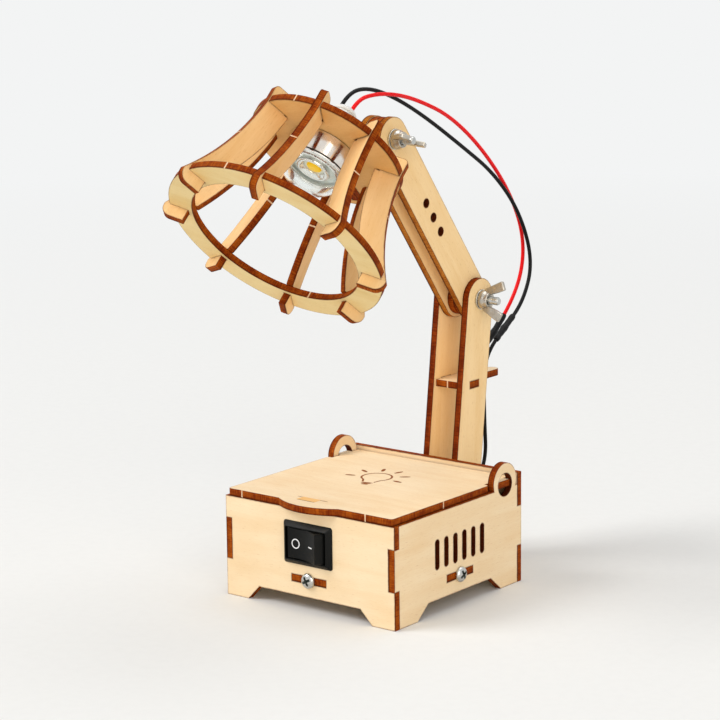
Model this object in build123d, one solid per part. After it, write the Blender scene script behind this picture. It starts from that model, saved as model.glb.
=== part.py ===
from build123d import *
import os
from math import atan2, cos, degrees, radians, sin, tan

# Plywood desk lamp: a box base with a hinged lid and a rocker switch, a leaning post of two
# uprights, a swing arm of two plates, and a bell shade of eight slotted ribs around a lamp.
# Lengths are millimetres and angles degrees. The lamp faces -Y, and +X is its right side.
# The pieces are laid out about the middle of the base, and the whole is moved at the end so
# that the origin is under the middle of the lamp.

# Sheet and fits
sheet = 2.5
fit_gap = 0.05
turn_gap = 0.05
hole_gap = 0.1
overrun = 1.0

# Base box
base_width = 73.6
base_depth = 73.6
panel_height = 35.7
back_height = 39.9
foot_cut_height = 5.1
front_foot_width = 9.65
front_cut_inset = 14.6
side_foot_width = 12.6
side_cut_inset = 18.7
finger_low = 13.3
finger_high = 27.8
floor_low = 9.9
floor_tab_width = 15.0
vent_count = 6
vent_pitch = 5.2
vent_width = 2.3
vent_length = 10.5
vent_centre_height = 20.95
lead_hole_radius = 3.2
lead_hole_height = 24.0

# Lid and its ears
hinge_inset = 10.0
ear_radius = 6.9
ear_rise = 0.9
ear_hole_radius = 4.1
lid_rest_gap = 0.1
lid_side_inset = 1.0
lid_front_inset = 0.2
lid_ear_gap = 0.3
lid_side_gap = 0.4
lid_tail = 7.0
lid_tab_width = 7.0
lid_tab_inset = 0.6
lid_corner_radius = 1.2
grip_width = 26.0
grip_depth = 4.2

# Screws, bolts, nuts and washers of one thread size
thread_radius = 1.5
screw_length = 8.0
screw_tip_room = 1.5
screw_head_radius = 2.75
screw_head_height = 1.8
nut_across_flats = 5.5
nut_height = 2.4
nut_inset = 5.6
elbow_bolt_length = 23.4
head_bolt_length = 18.8
bolt_head_radius = 2.9
bolt_head_height = 2.0
washer_radius = 3.6
washer_thickness = 0.8
wing_hub_radius = 3.4
wing_hub_top_radius = 2.9
wing_hub_height = 3.4
wing_root_radius = 2.4
wing_root_height = 1.3
wing_end_radius = 5.85
wing_end_height = 8.6
wing_width = 3.4
wing_thickness = 1.6
wing_tip_radius = 0.5
# How the two wing nuts stand, as turns about their bolts from lying along Z
elbow_nut_turn = -12.0
head_nut_turn = 70.0

# Rocker switch
switch_height = 23.8
bezel_width = 21.0
bezel_height = 15.0
bezel_proud = 1.8
bezel_chamfer = 1.5
switch_body_width = 18.8
switch_body_height = 12.8
switch_body_depth = 13.0
rocker_radius = 8.5
rocker_height = 10.8
rocker_gap = 0.2
rocker_pivot_depth = 2.0
rocker_pressed_proud = 1.7
rocker_back_depth = 3.5
rocker_tilt = 10.0
terminal_width = 4.8
terminal_thickness = 0.8
terminal_length = 7.0
terminal_spread = 8.0

# Battery tray and cells
cell_count = 2
cell_radius = 7.25
cell_nub_radius = 2.75
cell_nub_length = 1.3
cell_gap = 0.5
cell_rest_gap = 0.1
tray_wall = 1.2
tray_height = 14.0
tray_nut_gap = 1.05
tray_centre_y = 6.0
contact_thickness = 0.5
contact_width = 9.0
contact_height = 9.5
contact_room = 0.8

# Post: lengths behind are measured from the back of the base
elbow_behind = 16.4
elbow_z = 95.7
post_width = 15.2
post_lean = 6.9
post_foot_low = 14.0
post_foot_high = 33.0
post_tab_height = 5.0
post_tab_lows = (16.5, 26.5)
crossbar_low = 64.0
crossbar_behind = 6.5
crossbar_depth = 12.2
crossbar_tab_inset = 3.3
crossbar_tab_width = 5.4
tongue_width = 5.0
tongue_reach = 17.5

# Arm
arm_length = 78.0
arm_width = 15.2
arm_lean = 37.1
arm_hole_middle = 40.7
arm_hole_pitch = 6.9
arm_hole_count = 3
spacer_radius = 6.2

# Head: heights run up the shade's axis from the underside of its lower ring
head_lean = 45.7
pivot_back = 19.95
pivot_height = 61.35
ring_radius = 39.0
ring_width = 8.6
plate_low = 38.0
plate_radius = 27.4
rib_count = 8
rib_foot_proud = 1.8
rib_top_radius = 27.7
rib_width = 9.4
rib_bow = 2.45
rib_foot_depth = 4.2
rib_foot_round = 3.4
rib_slot_inset = 1.6
rib_crown_height = 4.7
rib_crown_inner = 20.0
rib_crown_round = 1.6
rib_crown_inner_round = 3.4
lug_radius = 7.3
lug_tab_width = 10.0

# Lamp in the shade, a little ahead of the shade's axis
lamp_forward = 1.6
sink_radius = 12.4
sink_low = 30.3
sink_core_low = 32.0
sink_recess_radius = 11.0
trim_radius = 12.7
trim_inner_radius = 9.0
trim_low = 29.2
lens_radius = 10.8
lens_shoulder_height = 28.0
lens_low = 21.4
lens_wall = 1.2
board_radius = 10.8
board_thickness = 1.0
chip_radius = 2.7
chip_thickness = 0.8
holder_inner_radius = 3.6
holder_radius = 6.2
holder_thickness = 1.6
neck_radius = 4.2
neck_top = 55.4
neck_round = 1.0
neck_groove_height = 52.2
neck_groove_width = 0.7
neck_groove_depth = 0.5
flange_radius = 5.8
flange_height = 2.0

# Leads: points that each lead passes, from the lamp's neck down to the base, each given as
# its place across the lamp, behind the back of the base and above the ground
lead_radius = 0.7
sleeve_radius = 1.15
arc_reach_share = 0.45
black_head_route = ((-1.6, -51.01, 170.39), (-1.6, -46.5, 174.79), (-1.6, -36.3, 175.6),
                    (-1.5, -22.3, 171.4), (-1.2, -4.8, 162.9), (-0.6, 15.03, 151.14),
                    (-0.2, 25.6, 144.55))
black_arm_route = ((-0.2, 25.6, 144.55), (0.2, 35.3, 138.5), (1.2, 50.4, 122.3), (2.4, 57.2, 103.2),
                   (3.2, 49.5, 89.0), (3.6, 42.5, 85.1))
black_sleeve_route = ((3.6, 42.5, 85.1), (3.96, 36.2, 81.59), (4.2, 30.8, 78.1))
black_low_route = ((4.2, 30.8, 78.1), (4.5, 24.05, 73.74), (4.3, 22.9, 63.0), (4.2, 23.6, 48.0),
                   (4.0, 24.8, 35.0), (3.2, 19.6, 25.6), (2.2, 9.7, 23.6), (1.7, 1.2, 24.0),
                   (1.6, -4.8, 24.2))
red_head_route = ((1.6, -49.47, 168.82), (1.6, -45.75, 172.45), (1.7, -36.8, 173.6), (1.7, -25.3, 172.6),
                  (1.6, -12.3, 169.4), (1.2, 7.1, 162.1), (0.9, 17.55, 155.0))
red_arm_route = ((0.9, 17.55, 155.0), (0.6, 28.0, 147.9), (-0.4, 47.4, 128.9), (-1.6, 57.8, 110.1),
                 (-2.6, 55.0, 92.8), (-3.2, 46.4, 84.2))
red_sleeve_route = ((-3.2, 46.4, 84.2), (-3.65, 39.95, 77.75), (-4.2, 34.2, 73.2))
red_low_route = ((-4.2, 34.2, 73.2), (-4.75, 28.45, 68.65), (-4.6, 25.2, 59.0), (-4.4, 24.7, 46.0),
                 (-4.0, 24.6, 33.5), (-3.2, 19.2, 25.2), (-2.2, 9.7, 23.4), (-1.7, 1.2, 23.6),
                 (-1.6, -4.8, 23.8))

half_width = base_width / 2
half_depth = base_depth / 2
hinge_y = half_depth - hinge_inset
hinge_z = panel_height + lid_rest_gap + sheet / 2
screw_z = floor_low + sheet / 2
bolt_hole_radius = thread_radius + hole_gap
elbow_y = half_depth + elbow_behind
arm_inner = sheet + turn_gap
arm_outer = arm_inner + sheet
post_inner = arm_outer + turn_gap
post_outer = post_inner + sheet
plate_high = plate_low + sheet
slot_width = sheet + 2 * fit_gap
ring_inner_radius = ring_radius - ring_width
rib_foot_radius = ring_radius + rib_foot_proud
rib_foot_inner = ring_inner_radius + rib_slot_inset
crossbar_front = half_depth + crossbar_behind
crossbar_back = crossbar_front + crossbar_depth
crossbar_tab_front = crossbar_front + crossbar_tab_inset
tongue_end = crossbar_back + tongue_reach

elbow = Pos(0, elbow_y, elbow_z)
arm_frame = elbow * Rot(X=arm_lean)
pivot_frame = arm_frame * Pos(0, 0, arm_length) * Rot(X=-arm_lean)
head_frame = pivot_frame * Rot(X=-head_lean) * Pos(0, -pivot_back, -pivot_height)
lamp_frame = head_frame * Pos(0, -lamp_forward, 0)
pieces = {}


def wall_x(face, low, thickness):
    return extrude(Plane.YZ.offset(low) * face, amount=thickness)


def wall_y(face, low, thickness):
    return extrude(Plane.XZ.offset(-low) * face, amount=-thickness)


def wall_z(face, low, thickness):
    return extrude(Plane.XY.offset(low) * face, amount=thickness)


def span_box(low_corner, high_corner):
    size = [high - low for low, high in zip(low_corner, high_corner)]
    middle = [(high + low) / 2 for low, high in zip(low_corner, high_corner)]
    return Pos(*middle) * Box(*size)


def span_face(low_corner, high_corner):
    size = [high - low for low, high in zip(low_corner, high_corner)]
    middle = [(high + low) / 2 for low, high in zip(low_corner, high_corner)]
    return Pos(*middle) * Rectangle(*size)


def group(shapes):
    return Compound([solid for shape in shapes for solid in shape.solids()])


def turned(outline):
    # A solid of revolution about Z from (radius, height) points
    points = [(radius, 0, height) for radius, height in outline]
    return revolve(make_face(Polyline(*points, close=True)), axis=Axis.Z)


def rod(radius, low, high):
    return turned(((0, low), (radius, low), (radius, high), (0, high)))


def tube(outer_radius, inner_radius, low, high):
    return turned(((inner_radius, low), (outer_radius, low), (outer_radius, high), (inner_radius, high)))


def footed_face(width, height, foot_width, cut_inset):
    # A wall panel's outline, standing on two feet with a sloped cut-out between them
    half = width / 2
    foot = half - foot_width
    cut = half - cut_inset
    return Polygon((-half, 0), (-foot, 0), (-cut, foot_cut_height), (cut, foot_cut_height), (foot, 0),
                   (half, 0), (half, height), (-half, height), align=None)


def floor_slot():
    # The slot for a floor tab, widened at its middle for the screw
    slot = Rectangle(floor_tab_width + 2 * fit_gap, slot_width)
    return Pos(0, screw_z) * (slot + Circle(bolt_hole_radius))


def finger_notches():
    notch_low = finger_low - fit_gap
    notch_high = finger_high + fit_gap
    inner = half_width - slot_width
    outer = half_width + overrun
    return span_face((inner, notch_low), (outer, notch_high)) + span_face((-outer, notch_low),
                                                                         (-inner, notch_high))


def front_panel():
    face = footed_face(base_width, panel_height, front_foot_width, front_cut_inset)
    face -= finger_notches()
    face -= floor_slot()
    opening = Rectangle(switch_body_width + 2 * hole_gap, switch_body_height + 2 * hole_gap)
    face -= Pos(0, switch_height) * opening
    return wall_y(face, -half_depth, sheet)


def back_panel():
    face = footed_face(base_width, back_height, front_foot_width, front_cut_inset)
    face -= finger_notches()
    face -= floor_slot()
    face -= Pos(0, lead_hole_height) * Circle(lead_hole_radius)
    for tab_low in post_tab_lows:
        for side in (-1, 1):
            slot = Rectangle(slot_width, post_tab_height + 2 * fit_gap)
            face -= Pos(side * (post_inner + sheet / 2), tab_low + post_tab_height / 2) * slot
    return wall_y(face, half_depth - sheet, sheet)


def side_panel(low_x):
    inner = half_depth - sheet
    face = footed_face(2 * inner, panel_height, side_foot_width - sheet, side_cut_inset - sheet)
    for side in (-1, 1):
        ends = sorted((side * (inner - overrun), side * half_depth))
        face += span_face((ends[0], finger_low), (ends[1], finger_high))
    face += Pos(hinge_y, hinge_z + ear_rise) * Circle(ear_radius)
    face -= Pos(hinge_y, hinge_z) * Circle(ear_hole_radius)
    face -= floor_slot()
    vent = SlotOverall(vent_length, vent_width, rotation=90)
    for number in range(vent_count):
        place = (number - (vent_count - 1) / 2) * vent_pitch
        face -= Pos(place, vent_centre_height) * vent
    return wall_x(face, low_x, sheet)


def floor_panel():
    across = 2 * (half_width - sheet - fit_gap)
    along = 2 * (half_depth - sheet - fit_gap)
    face = Rectangle(across, along)
    face += Rectangle(base_width, floor_tab_width)
    face += Rectangle(floor_tab_width, base_depth)
    for turn, reach in wall_turns():
        notch_end = screw_length + screw_tip_room - reach
        notch = span_face((-bolt_hole_radius, -reach - overrun), (bolt_hole_radius, notch_end))
        pocket_half = nut_across_flats / 2 + fit_gap
        pocket_low = nut_inset - fit_gap - reach
        pocket = span_face((-pocket_half, pocket_low), (pocket_half, pocket_low + nut_height + 2 * fit_gap))
        face -= Rot(Z=turn) * (notch + pocket)
    return wall_z(face, floor_low, sheet)


def wall_turns():
    # The four walls as turns about Z from the front one, with their distance from the middle
    return ((0, half_depth), (90, half_width), (180, half_depth), (270, half_width))


def on_wall(turn, reach, height):
    # A frame on the outer face of a wall, with its Z axis pointing out of the wall
    return Rot(Z=turn) * Pos(0, -reach, height) * Rot(X=90)


def floor_screw():
    crown = screw_head_height / 2
    head = turned(((0, 0), (screw_head_radius, 0), (screw_head_radius, crown),
                   (screw_head_radius - crown, screw_head_height), (0, screw_head_height)))
    return head + rod(thread_radius, -screw_length, 0)


def floor_nut():
    face = RegularPolygon(nut_across_flats / 2, 6, major_radius=False, rotation=30)
    face -= Circle(thread_radius + fit_gap)
    return wall_z(face, -nut_inset - nut_height, nut_height)


def lid():
    front = -half_depth + lid_front_inset
    ear_front = hinge_y - ear_radius - ear_rise - lid_ear_gap
    side = half_width - lid_side_inset
    tail_side = half_width - sheet - lid_side_gap
    middle = (front + ear_front) / 2
    face = Pos(0, middle) * RectangleRounded(2 * side, ear_front - front, lid_corner_radius)
    face += span_face((-tail_side, ear_front - overrun), (tail_side, hinge_y + lid_tail))
    tab_side = half_width - lid_tab_inset
    face += Pos(0, hinge_y) * Rectangle(2 * tab_side, lid_tab_width)
    face += grip_face(front)
    return wall_z(face, hinge_z - sheet / 2, sheet)


def grip_face(front):
    # The finger grip on the lid's front edge, one shallow arc
    inner = front + overrun
    ends = grip_width / 2
    bulge = ThreePointArc((-ends, front), (0, front - grip_depth), (ends, front))
    rim = Polyline((ends, front), (ends, inner), (-ends, inner), (-ends, front))
    return make_face([bulge, *rim.edges()])


def switch_frame():
    return on_wall(0, half_depth, switch_height)


def switch_housing():
    bezel = wall_z(Rectangle(bezel_width, bezel_height), 0, bezel_proud)
    bezel = chamfer(bezel.faces().sort_by(Axis.Z)[-1].edges(), bezel_chamfer)
    body = wall_z(Rectangle(switch_body_width, switch_body_height), -switch_body_depth, switch_body_depth)
    well = Cylinder(rocker_radius + rocker_gap, rocker_height + 2 * rocker_gap, rotation=(90, 0, 0))
    return switch_frame() * (bezel + body - Pos(0, 0, -rocker_pivot_depth) * well)


def switch_rocker():
    # Two facets that meet in a shallow valley, so the pressed one lies flat with the bezel
    valley = (rocker_pivot_depth + rocker_pressed_proud) / cos(radians(rocker_tilt))
    crest = valley + rocker_radius * tan(radians(rocker_tilt))
    outline = Polygon((-rocker_radius, -rocker_back_depth), (rocker_radius, -rocker_back_depth),
                      (rocker_radius, crest), (0, valley), (-rocker_radius, crest), align=None)
    face = outline & Circle(rocker_radius)
    solid = wall_y(face, -rocker_height / 2, rocker_height)
    return switch_frame() * Pos(0, 0, -rocker_pivot_depth) * Rot(Y=-rocker_tilt) * solid


def switch_terminals():
    blades = []
    for side in (-1, 1):
        blade = span_box((-terminal_thickness / 2, -terminal_width / 2, -terminal_length),
                         (terminal_thickness / 2, terminal_width / 2, 0))
        blades.append(switch_frame() * Pos(side * terminal_spread / 2, 0, -switch_body_depth) * blade)
    return group(blades)


def tray_sizes():
    # The tray fills the width of the box between the nuts of its side walls
    inner_length = 2 * (half_width - nut_inset - nut_height - tray_nut_gap - tray_wall)
    inner_width = cell_count * (2 * cell_radius + cell_gap)
    cell_length = inner_length - 2 * (contact_thickness + contact_room)
    return inner_length, inner_width, cell_length


def tray_frame():
    return Pos(0, tray_centre_y, floor_low + sheet)


def battery_tray():
    inner_length, inner_width, cell_length = tray_sizes()
    block = wall_z(Rectangle(inner_length + 2 * tray_wall, inner_width + 2 * tray_wall), 0, tray_height)
    room = wall_z(Rectangle(inner_length, inner_width), tray_wall, tray_height)
    scoop = Rot(Y=90) * Cylinder(cell_radius, 2 * contact_width)
    side_scoops = [Pos(0, side * inner_width / 2, tray_height + cell_gap) * Rot(Z=90) * scoop
                   for side in (-1, 1)]
    return tray_frame() * (block - room - side_scoops)


def cell_places():
    pitch = 2 * cell_radius + cell_gap
    height = tray_wall + cell_rest_gap + cell_radius
    return [(number, (number - (cell_count - 1) / 2) * pitch, height) for number in range(cell_count)]


def battery_cells():
    cells = []
    inner_length, inner_width, cell_length = tray_sizes()
    body_length = cell_length - cell_nub_length
    for number, place, height in cell_places():
        cell = rod(cell_radius, 0, body_length) + rod(cell_nub_radius, body_length, cell_length)
        cell = Pos(0, 0, -cell_length / 2) * cell
        way = 90 if number % 2 else -90
        cells.append(tray_frame() * Pos(0, place, height) * Rot(Y=way) * cell)
    return group(cells)


def battery_contacts():
    inner_length, inner_width, cell_length = tray_sizes()
    contacts = []
    for number, place, height in cell_places():
        for side in (-1, 1):
            plate = Box(contact_thickness, contact_width, contact_height)
            reach = side * (inner_length / 2 - contact_thickness / 2)
            contacts.append(tray_frame() * Pos(reach, place, height) * plate)
    return group(contacts)


def upright_face():
    # The upright's outline in the plane of Y and Z: a leaning strip with a round top and a
    # foot that lies flat on the back panel, with tabs through it
    half = post_width / 2
    drop = (elbow_z - post_foot_low) / cos(radians(post_lean)) + post_width
    strip = Pos(0, -drop / 2) * Rectangle(post_width, drop) + Circle(half)
    face = Pos(elbow_y, elbow_z) * Rot(Z=-post_lean) * strip
    face -= span_face((0, -base_depth), (2 * base_depth, post_foot_low))
    face -= span_face((0, -base_depth), (half_depth, elbow_z))
    face += span_face((half_depth, post_foot_low), (half_depth + half, post_foot_high))
    for tab_low in post_tab_lows:
        face += span_face((half_depth - sheet, tab_low), (half_depth + overrun, tab_low + post_tab_height))
    face -= Pos(elbow_y, elbow_z) * Circle(bolt_hole_radius)
    slot_front = crossbar_tab_front - fit_gap
    slot_back = crossbar_tab_front + crossbar_tab_width + fit_gap
    face -= span_face((slot_front, crossbar_low - fit_gap), (slot_back, crossbar_low + sheet + fit_gap))
    return face


def crossbar():
    side = post_inner - fit_gap
    face = span_face((-side, crossbar_front), (side, crossbar_back))
    tab_back = crossbar_tab_front + crossbar_tab_width
    face += span_face((-post_outer, crossbar_tab_front), (post_outer, tab_back))
    tip = tongue_end - tongue_width / 2
    face += span_face((-tongue_width / 2, crossbar_back - overrun), (tongue_width / 2, tip))
    face += Pos(0, tip) * Circle(tongue_width / 2)
    return wall_z(face, crossbar_low, sheet)


def arm_face():
    # The arm plate's outline along +Y of its own plane, from the elbow to the head pivot
    half = arm_width / 2
    face = span_face((-half, 0), (half, arm_length)) + Circle(half)
    face += Pos(0, arm_length) * Circle(half)
    hole = Circle(bolt_hole_radius)
    face -= hole
    face -= Pos(0, arm_length) * hole
    for number in range(arm_hole_count):
        step = (number - (arm_hole_count - 1) / 2) * arm_hole_pitch
        face -= Pos(0, arm_hole_middle + step) * hole
    return face


def along_x():
    # Turns a solid made along +Z so that it points along +X
    return Rot(Y=90)


def bolt(head_x, length):
    # A pan-head bolt along +X whose head seats at the given place
    crown = bolt_head_height / 2
    head = turned(((0, -bolt_head_height), (bolt_head_radius - crown, -bolt_head_height),
                   (bolt_head_radius, -crown), (bolt_head_radius, 0), (0, 0)))
    return Pos(head_x, 0, 0) * along_x() * (head + rod(thread_radius, 0, length))


def washer(low_x):
    return Pos(low_x, 0, 0) * along_x() * tube(washer_radius, bolt_hole_radius, 0, washer_thickness)


def wing_nut(low_x, turn):
    # A hub on the thread with two straps that rise and spread away from it
    hub = turned(((0, 0), (wing_hub_radius, 0), (wing_hub_top_radius, wing_hub_height), (0, wing_hub_height)))
    root = Vector(wing_root_radius, wing_root_height)
    end = Vector(wing_end_radius, wing_end_height)
    spread = degrees(atan2(wing_end_height - wing_root_height, wing_end_radius - wing_root_radius))
    strap = Rectangle((end - root).length, wing_width)
    strap = fillet(strap.vertices().group_by(Axis.X)[-1], wing_tip_radius)
    middle = (root + end) / 2
    wing = wall_y(Pos(middle.X, middle.Y) * Rot(Z=spread) * strap, -wing_thickness / 2, wing_thickness)
    nut = hub + wing + Rot(Z=180) * wing
    nut -= rod(thread_radius + fit_gap, -overrun, wing_end_height + wing_width)
    return Pos(low_x, 0, 0) * Rot(X=turn) * along_x() * nut


def rib_face():
    # One rib in the plane of radius and height: a bell-curved band with a crown above the top
    # plate and a foot below the ring, notched where it crosses the ring
    low = (rib_foot_radius, 0)
    high = (rib_top_radius, plate_low)
    inner_low = (rib_foot_radius - rib_width, 0)
    inner_high = (rib_top_radius - rib_width, plate_low)
    band = make_face([SagittaArc(low, high, rib_bow), Line(high, inner_high),
                      SagittaArc(inner_low, inner_high, rib_bow), Line(inner_low, low)])
    crown_high = plate_high + rib_crown_height
    crown = span_face((rib_crown_inner, plate_low), (rib_top_radius, crown_high))
    crown_corners = crown.vertices().group_by(Axis.Y)[-1].sort_by(Axis.X)
    crown = fillet(crown_corners[-1], rib_crown_round)
    crown_corners = crown.vertices().group_by(Axis.X)[0].sort_by(Axis.Y)
    crown = fillet(crown_corners[-1], rib_crown_inner_round)
    foot = span_face((rib_foot_inner, -rib_foot_depth), (rib_foot_radius, 0))
    foot_corner = foot.vertices().group_by(Axis.Y)[0].sort_by(Axis.X)[-1]
    foot = fillet(foot_corner, rib_foot_round)
    notch = span_face((0, -overrun), (rib_foot_inner, sheet))
    return band - notch + crown + foot


def rib(number):
    solid = wall_y(rib_face(), -sheet / 2, sheet)
    return Rot(Z=rib_angle(number)) * solid


def rib_angle(number):
    return (number + 0.5) * 360 / rib_count


def radial_slots(inner, outer):
    slot = span_face((inner, -slot_width / 2), (outer, slot_width / 2))
    return [Rot(Z=rib_angle(number)) * slot for number in range(rib_count)]


def bottom_ring():
    face = Circle(ring_radius) - Circle(ring_inner_radius)
    face -= radial_slots(rib_foot_inner - fit_gap, ring_radius + overrun)
    return wall_z(face, 0, sheet)


def top_plate():
    face = Circle(plate_radius) - Pos(0, -lamp_forward) * Circle(neck_radius + hole_gap)
    face -= radial_slots(rib_crown_inner - fit_gap, plate_radius + overrun)
    lug_slot = Rectangle(2 * (sheet + fit_gap), lug_tab_width + 2 * fit_gap)
    return wall_z(face - Pos(0, pivot_back) * lug_slot, plate_low, sheet)


def lug(low_x):
    # A hinge lug that stands on the top plate, with a tab through it, round about the pivot
    block = span_face((pivot_back - lug_radius, plate_high), (pivot_back + lug_radius, pivot_height))
    block += Pos(pivot_back, pivot_height) * Circle(lug_radius)
    tab_front = pivot_back - lug_tab_width / 2
    block += span_face((tab_front, plate_low), (tab_front + lug_tab_width, plate_high + overrun))
    block -= Pos(pivot_back, pivot_height) * Circle(bolt_hole_radius)
    return wall_x(block, low_x, sheet)


def heat_sink():
    # A plain polished cup, open below for the LED board
    return rod(sink_radius, sink_low, plate_low) - rod(sink_recess_radius, sink_low - overrun, sink_core_low)


def lens():
    # A clear dome with a short straight rim
    cup = lens_profile(lens_radius, lens_low)
    room = lens_profile(lens_radius - lens_wall, lens_low + lens_wall)
    return revolve(Plane.XZ * (cup - room), axis=Axis.Z)


def lens_profile(radius, low):
    dome = TangentArc((0, low), (radius, lens_shoulder_height), tangent=(1, 0))
    sides = Polyline((radius, lens_shoulder_height), (radius, trim_low), (0, trim_low), (0, low))
    return make_face([dome, *sides.edges()])


def neck():
    groove_low = neck_groove_height
    groove_high = neck_groove_height + neck_groove_width
    groove_radius = neck_radius - neck_groove_depth
    return turned(((0, plate_low), (neck_radius, plate_low), (neck_radius, plate_high),
                   (flange_radius, plate_high), (flange_radius, plate_high + flange_height),
                   (neck_radius, plate_high + flange_height), (neck_radius, groove_low),
                   (groove_radius, groove_low), (groove_radius, groove_high), (neck_radius, groove_high),
                   (neck_radius, neck_top - neck_round), (neck_radius - neck_round, neck_top),
                   (0, neck_top)))


def lead(name, route, radius):
    # A round lead along straight runs joined by arcs as large as the runs allow
    points = [Vector(across, half_depth + behind, height) for across, behind, height in route]
    runs = [end - start for start, end in zip(points, points[1:])]
    radii = []
    for before, after in zip(runs, runs[1:]):
        turn = radians(before.get_angle(after))
        radii.append(arc_reach_share * min(before.length, after.length) / tan(turn / 2))
    path = FilletPolyline(*points, radius=radii)
    section = Plane(points[0], z_dir=runs[0]) * Circle(radius)
    solid = sweep(section, path=path)
    expected = section.area * path.length
    print(name, "length", round(path.length, 1), "least bend", round(min(radii), 1),
          "volume share", round(solid.volume / expected, 4))
    return solid


def add_base():
    pieces["base_front_panel"] = front_panel()
    pieces["base_back_panel"] = back_panel()
    pieces["base_left_panel"] = side_panel(-half_width)
    pieces["base_right_panel"] = side_panel(half_width - sheet)
    pieces["base_floor"] = floor_panel()
    frames = [on_wall(turn, reach, screw_z) for turn, reach in wall_turns()]
    pieces["base_screws"] = group([frame * floor_screw() for frame in frames])
    pieces["base_nuts"] = group([frame * floor_nut() for frame in frames])
    pieces["lid"] = lid()
    pieces["switch_housing"] = switch_housing()
    pieces["switch_rocker"] = switch_rocker()
    pieces["switch_terminals"] = switch_terminals()
    pieces["battery_tray"] = battery_tray()
    pieces["battery_cells"] = battery_cells()
    pieces["battery_contacts"] = battery_contacts()


def add_post_and_arm():
    upright = upright_face()
    pieces["post_left_upright"] = wall_x(upright, -post_outer, sheet)
    pieces["post_right_upright"] = wall_x(upright, post_inner, sheet)
    pieces["post_crossbar"] = crossbar()
    pieces["elbow_bolt"] = elbow * bolt(-post_outer, elbow_bolt_length)
    pieces["elbow_washer"] = elbow * washer(post_outer)
    pieces["elbow_wing_nut"] = elbow * wing_nut(post_outer + washer_thickness + turn_gap, elbow_nut_turn)
    plate = arm_face()
    pieces["arm_left_plate"] = arm_frame * wall_x(plate, -arm_outer, sheet)
    pieces["arm_right_plate"] = arm_frame * wall_x(plate, arm_inner, sheet)
    spacer = Circle(spacer_radius) - Circle(bolt_hole_radius)
    pieces["elbow_left_spacer"] = arm_frame * wall_x(spacer, -arm_inner, arm_inner)
    pieces["elbow_right_spacer"] = arm_frame * wall_x(spacer, 0, arm_inner)
    pieces["head_bolt"] = pivot_frame * bolt(-arm_outer, head_bolt_length)
    pieces["head_washer"] = pivot_frame * washer(arm_outer)
    pieces["head_wing_nut"] = pivot_frame * wing_nut(arm_outer + washer_thickness + turn_gap, head_nut_turn)


def add_head():
    pieces["head_left_lug"] = head_frame * lug(-sheet)
    pieces["head_right_lug"] = head_frame * lug(0)
    pieces["shade_top_plate"] = head_frame * top_plate()
    pieces["shade_bottom_ring"] = head_frame * bottom_ring()
    for number in range(rib_count):
        pieces["shade_rib_" + str(number + 1)] = head_frame * rib(number)
    pieces["lamp_heat_sink"] = lamp_frame * heat_sink()
    pieces["lamp_trim_ring"] = lamp_frame * tube(trim_radius, trim_inner_radius, trim_low, sink_low)
    pieces["lamp_lens"] = lamp_frame * lens()
    board_low = sink_core_low - board_thickness
    pieces["led_board"] = lamp_frame * rod(board_radius, board_low, sink_core_low)
    pieces["led_chip"] = lamp_frame * rod(chip_radius, board_low - chip_thickness, board_low)
    holder_low = board_low - holder_thickness
    pieces["led_holder"] = lamp_frame * tube(holder_radius, holder_inner_radius, holder_low, board_low)
    pieces["lamp_neck"] = lamp_frame * neck()


def add_leads():
    pieces["lead_black_head"] = lead("lead_black_head", black_head_route, lead_radius)
    pieces["lead_black_arm"] = lead("lead_black_arm", black_arm_route, lead_radius)
    pieces["lead_black_sleeve"] = lead("lead_black_sleeve", black_sleeve_route, sleeve_radius)
    pieces["lead_black_low"] = lead("lead_black_low", black_low_route, lead_radius)
    pieces["lead_red_head"] = lead("lead_red_head", red_head_route, lead_radius)
    pieces["lead_red_arm"] = lead("lead_red_arm", red_arm_route, lead_radius)
    pieces["lead_red_sleeve"] = lead("lead_red_sleeve", red_sleeve_route, sleeve_radius)
    pieces["lead_red_low"] = lead("lead_red_low", red_low_route, lead_radius)


add_base()
add_post_and_arm()
add_head()
box = group(pieces.values()).bounding_box()
stand = Pos(0, -(box.min.Y + box.max.Y) / 2, 0)
add_leads()

os.makedirs("parts", exist_ok=True)
for name, piece in pieces.items():
    export_step(stand * piece, os.path.join("parts", name + ".step"))

for name, frame in (("lid hinge", Pos(0, hinge_y, hinge_z)), ("elbow", elbow), ("head pivot", pivot_frame),
                    ("rocker", switch_frame() * Pos(0, 0, -rocker_pivot_depth)), ("shade", head_frame)):
    place = (stand * frame).position
    print(name, "at", round(place.X, 3), round(place.Y, 3), round(place.Z, 3))
print("pieces", len(pieces), "shift", round(stand.position.Y, 4))
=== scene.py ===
import bpy
import bmesh
import math
from functools import partial
from mathutils import Matrix, Vector
from mathutils.geometry import tessellate_polygon


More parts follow.
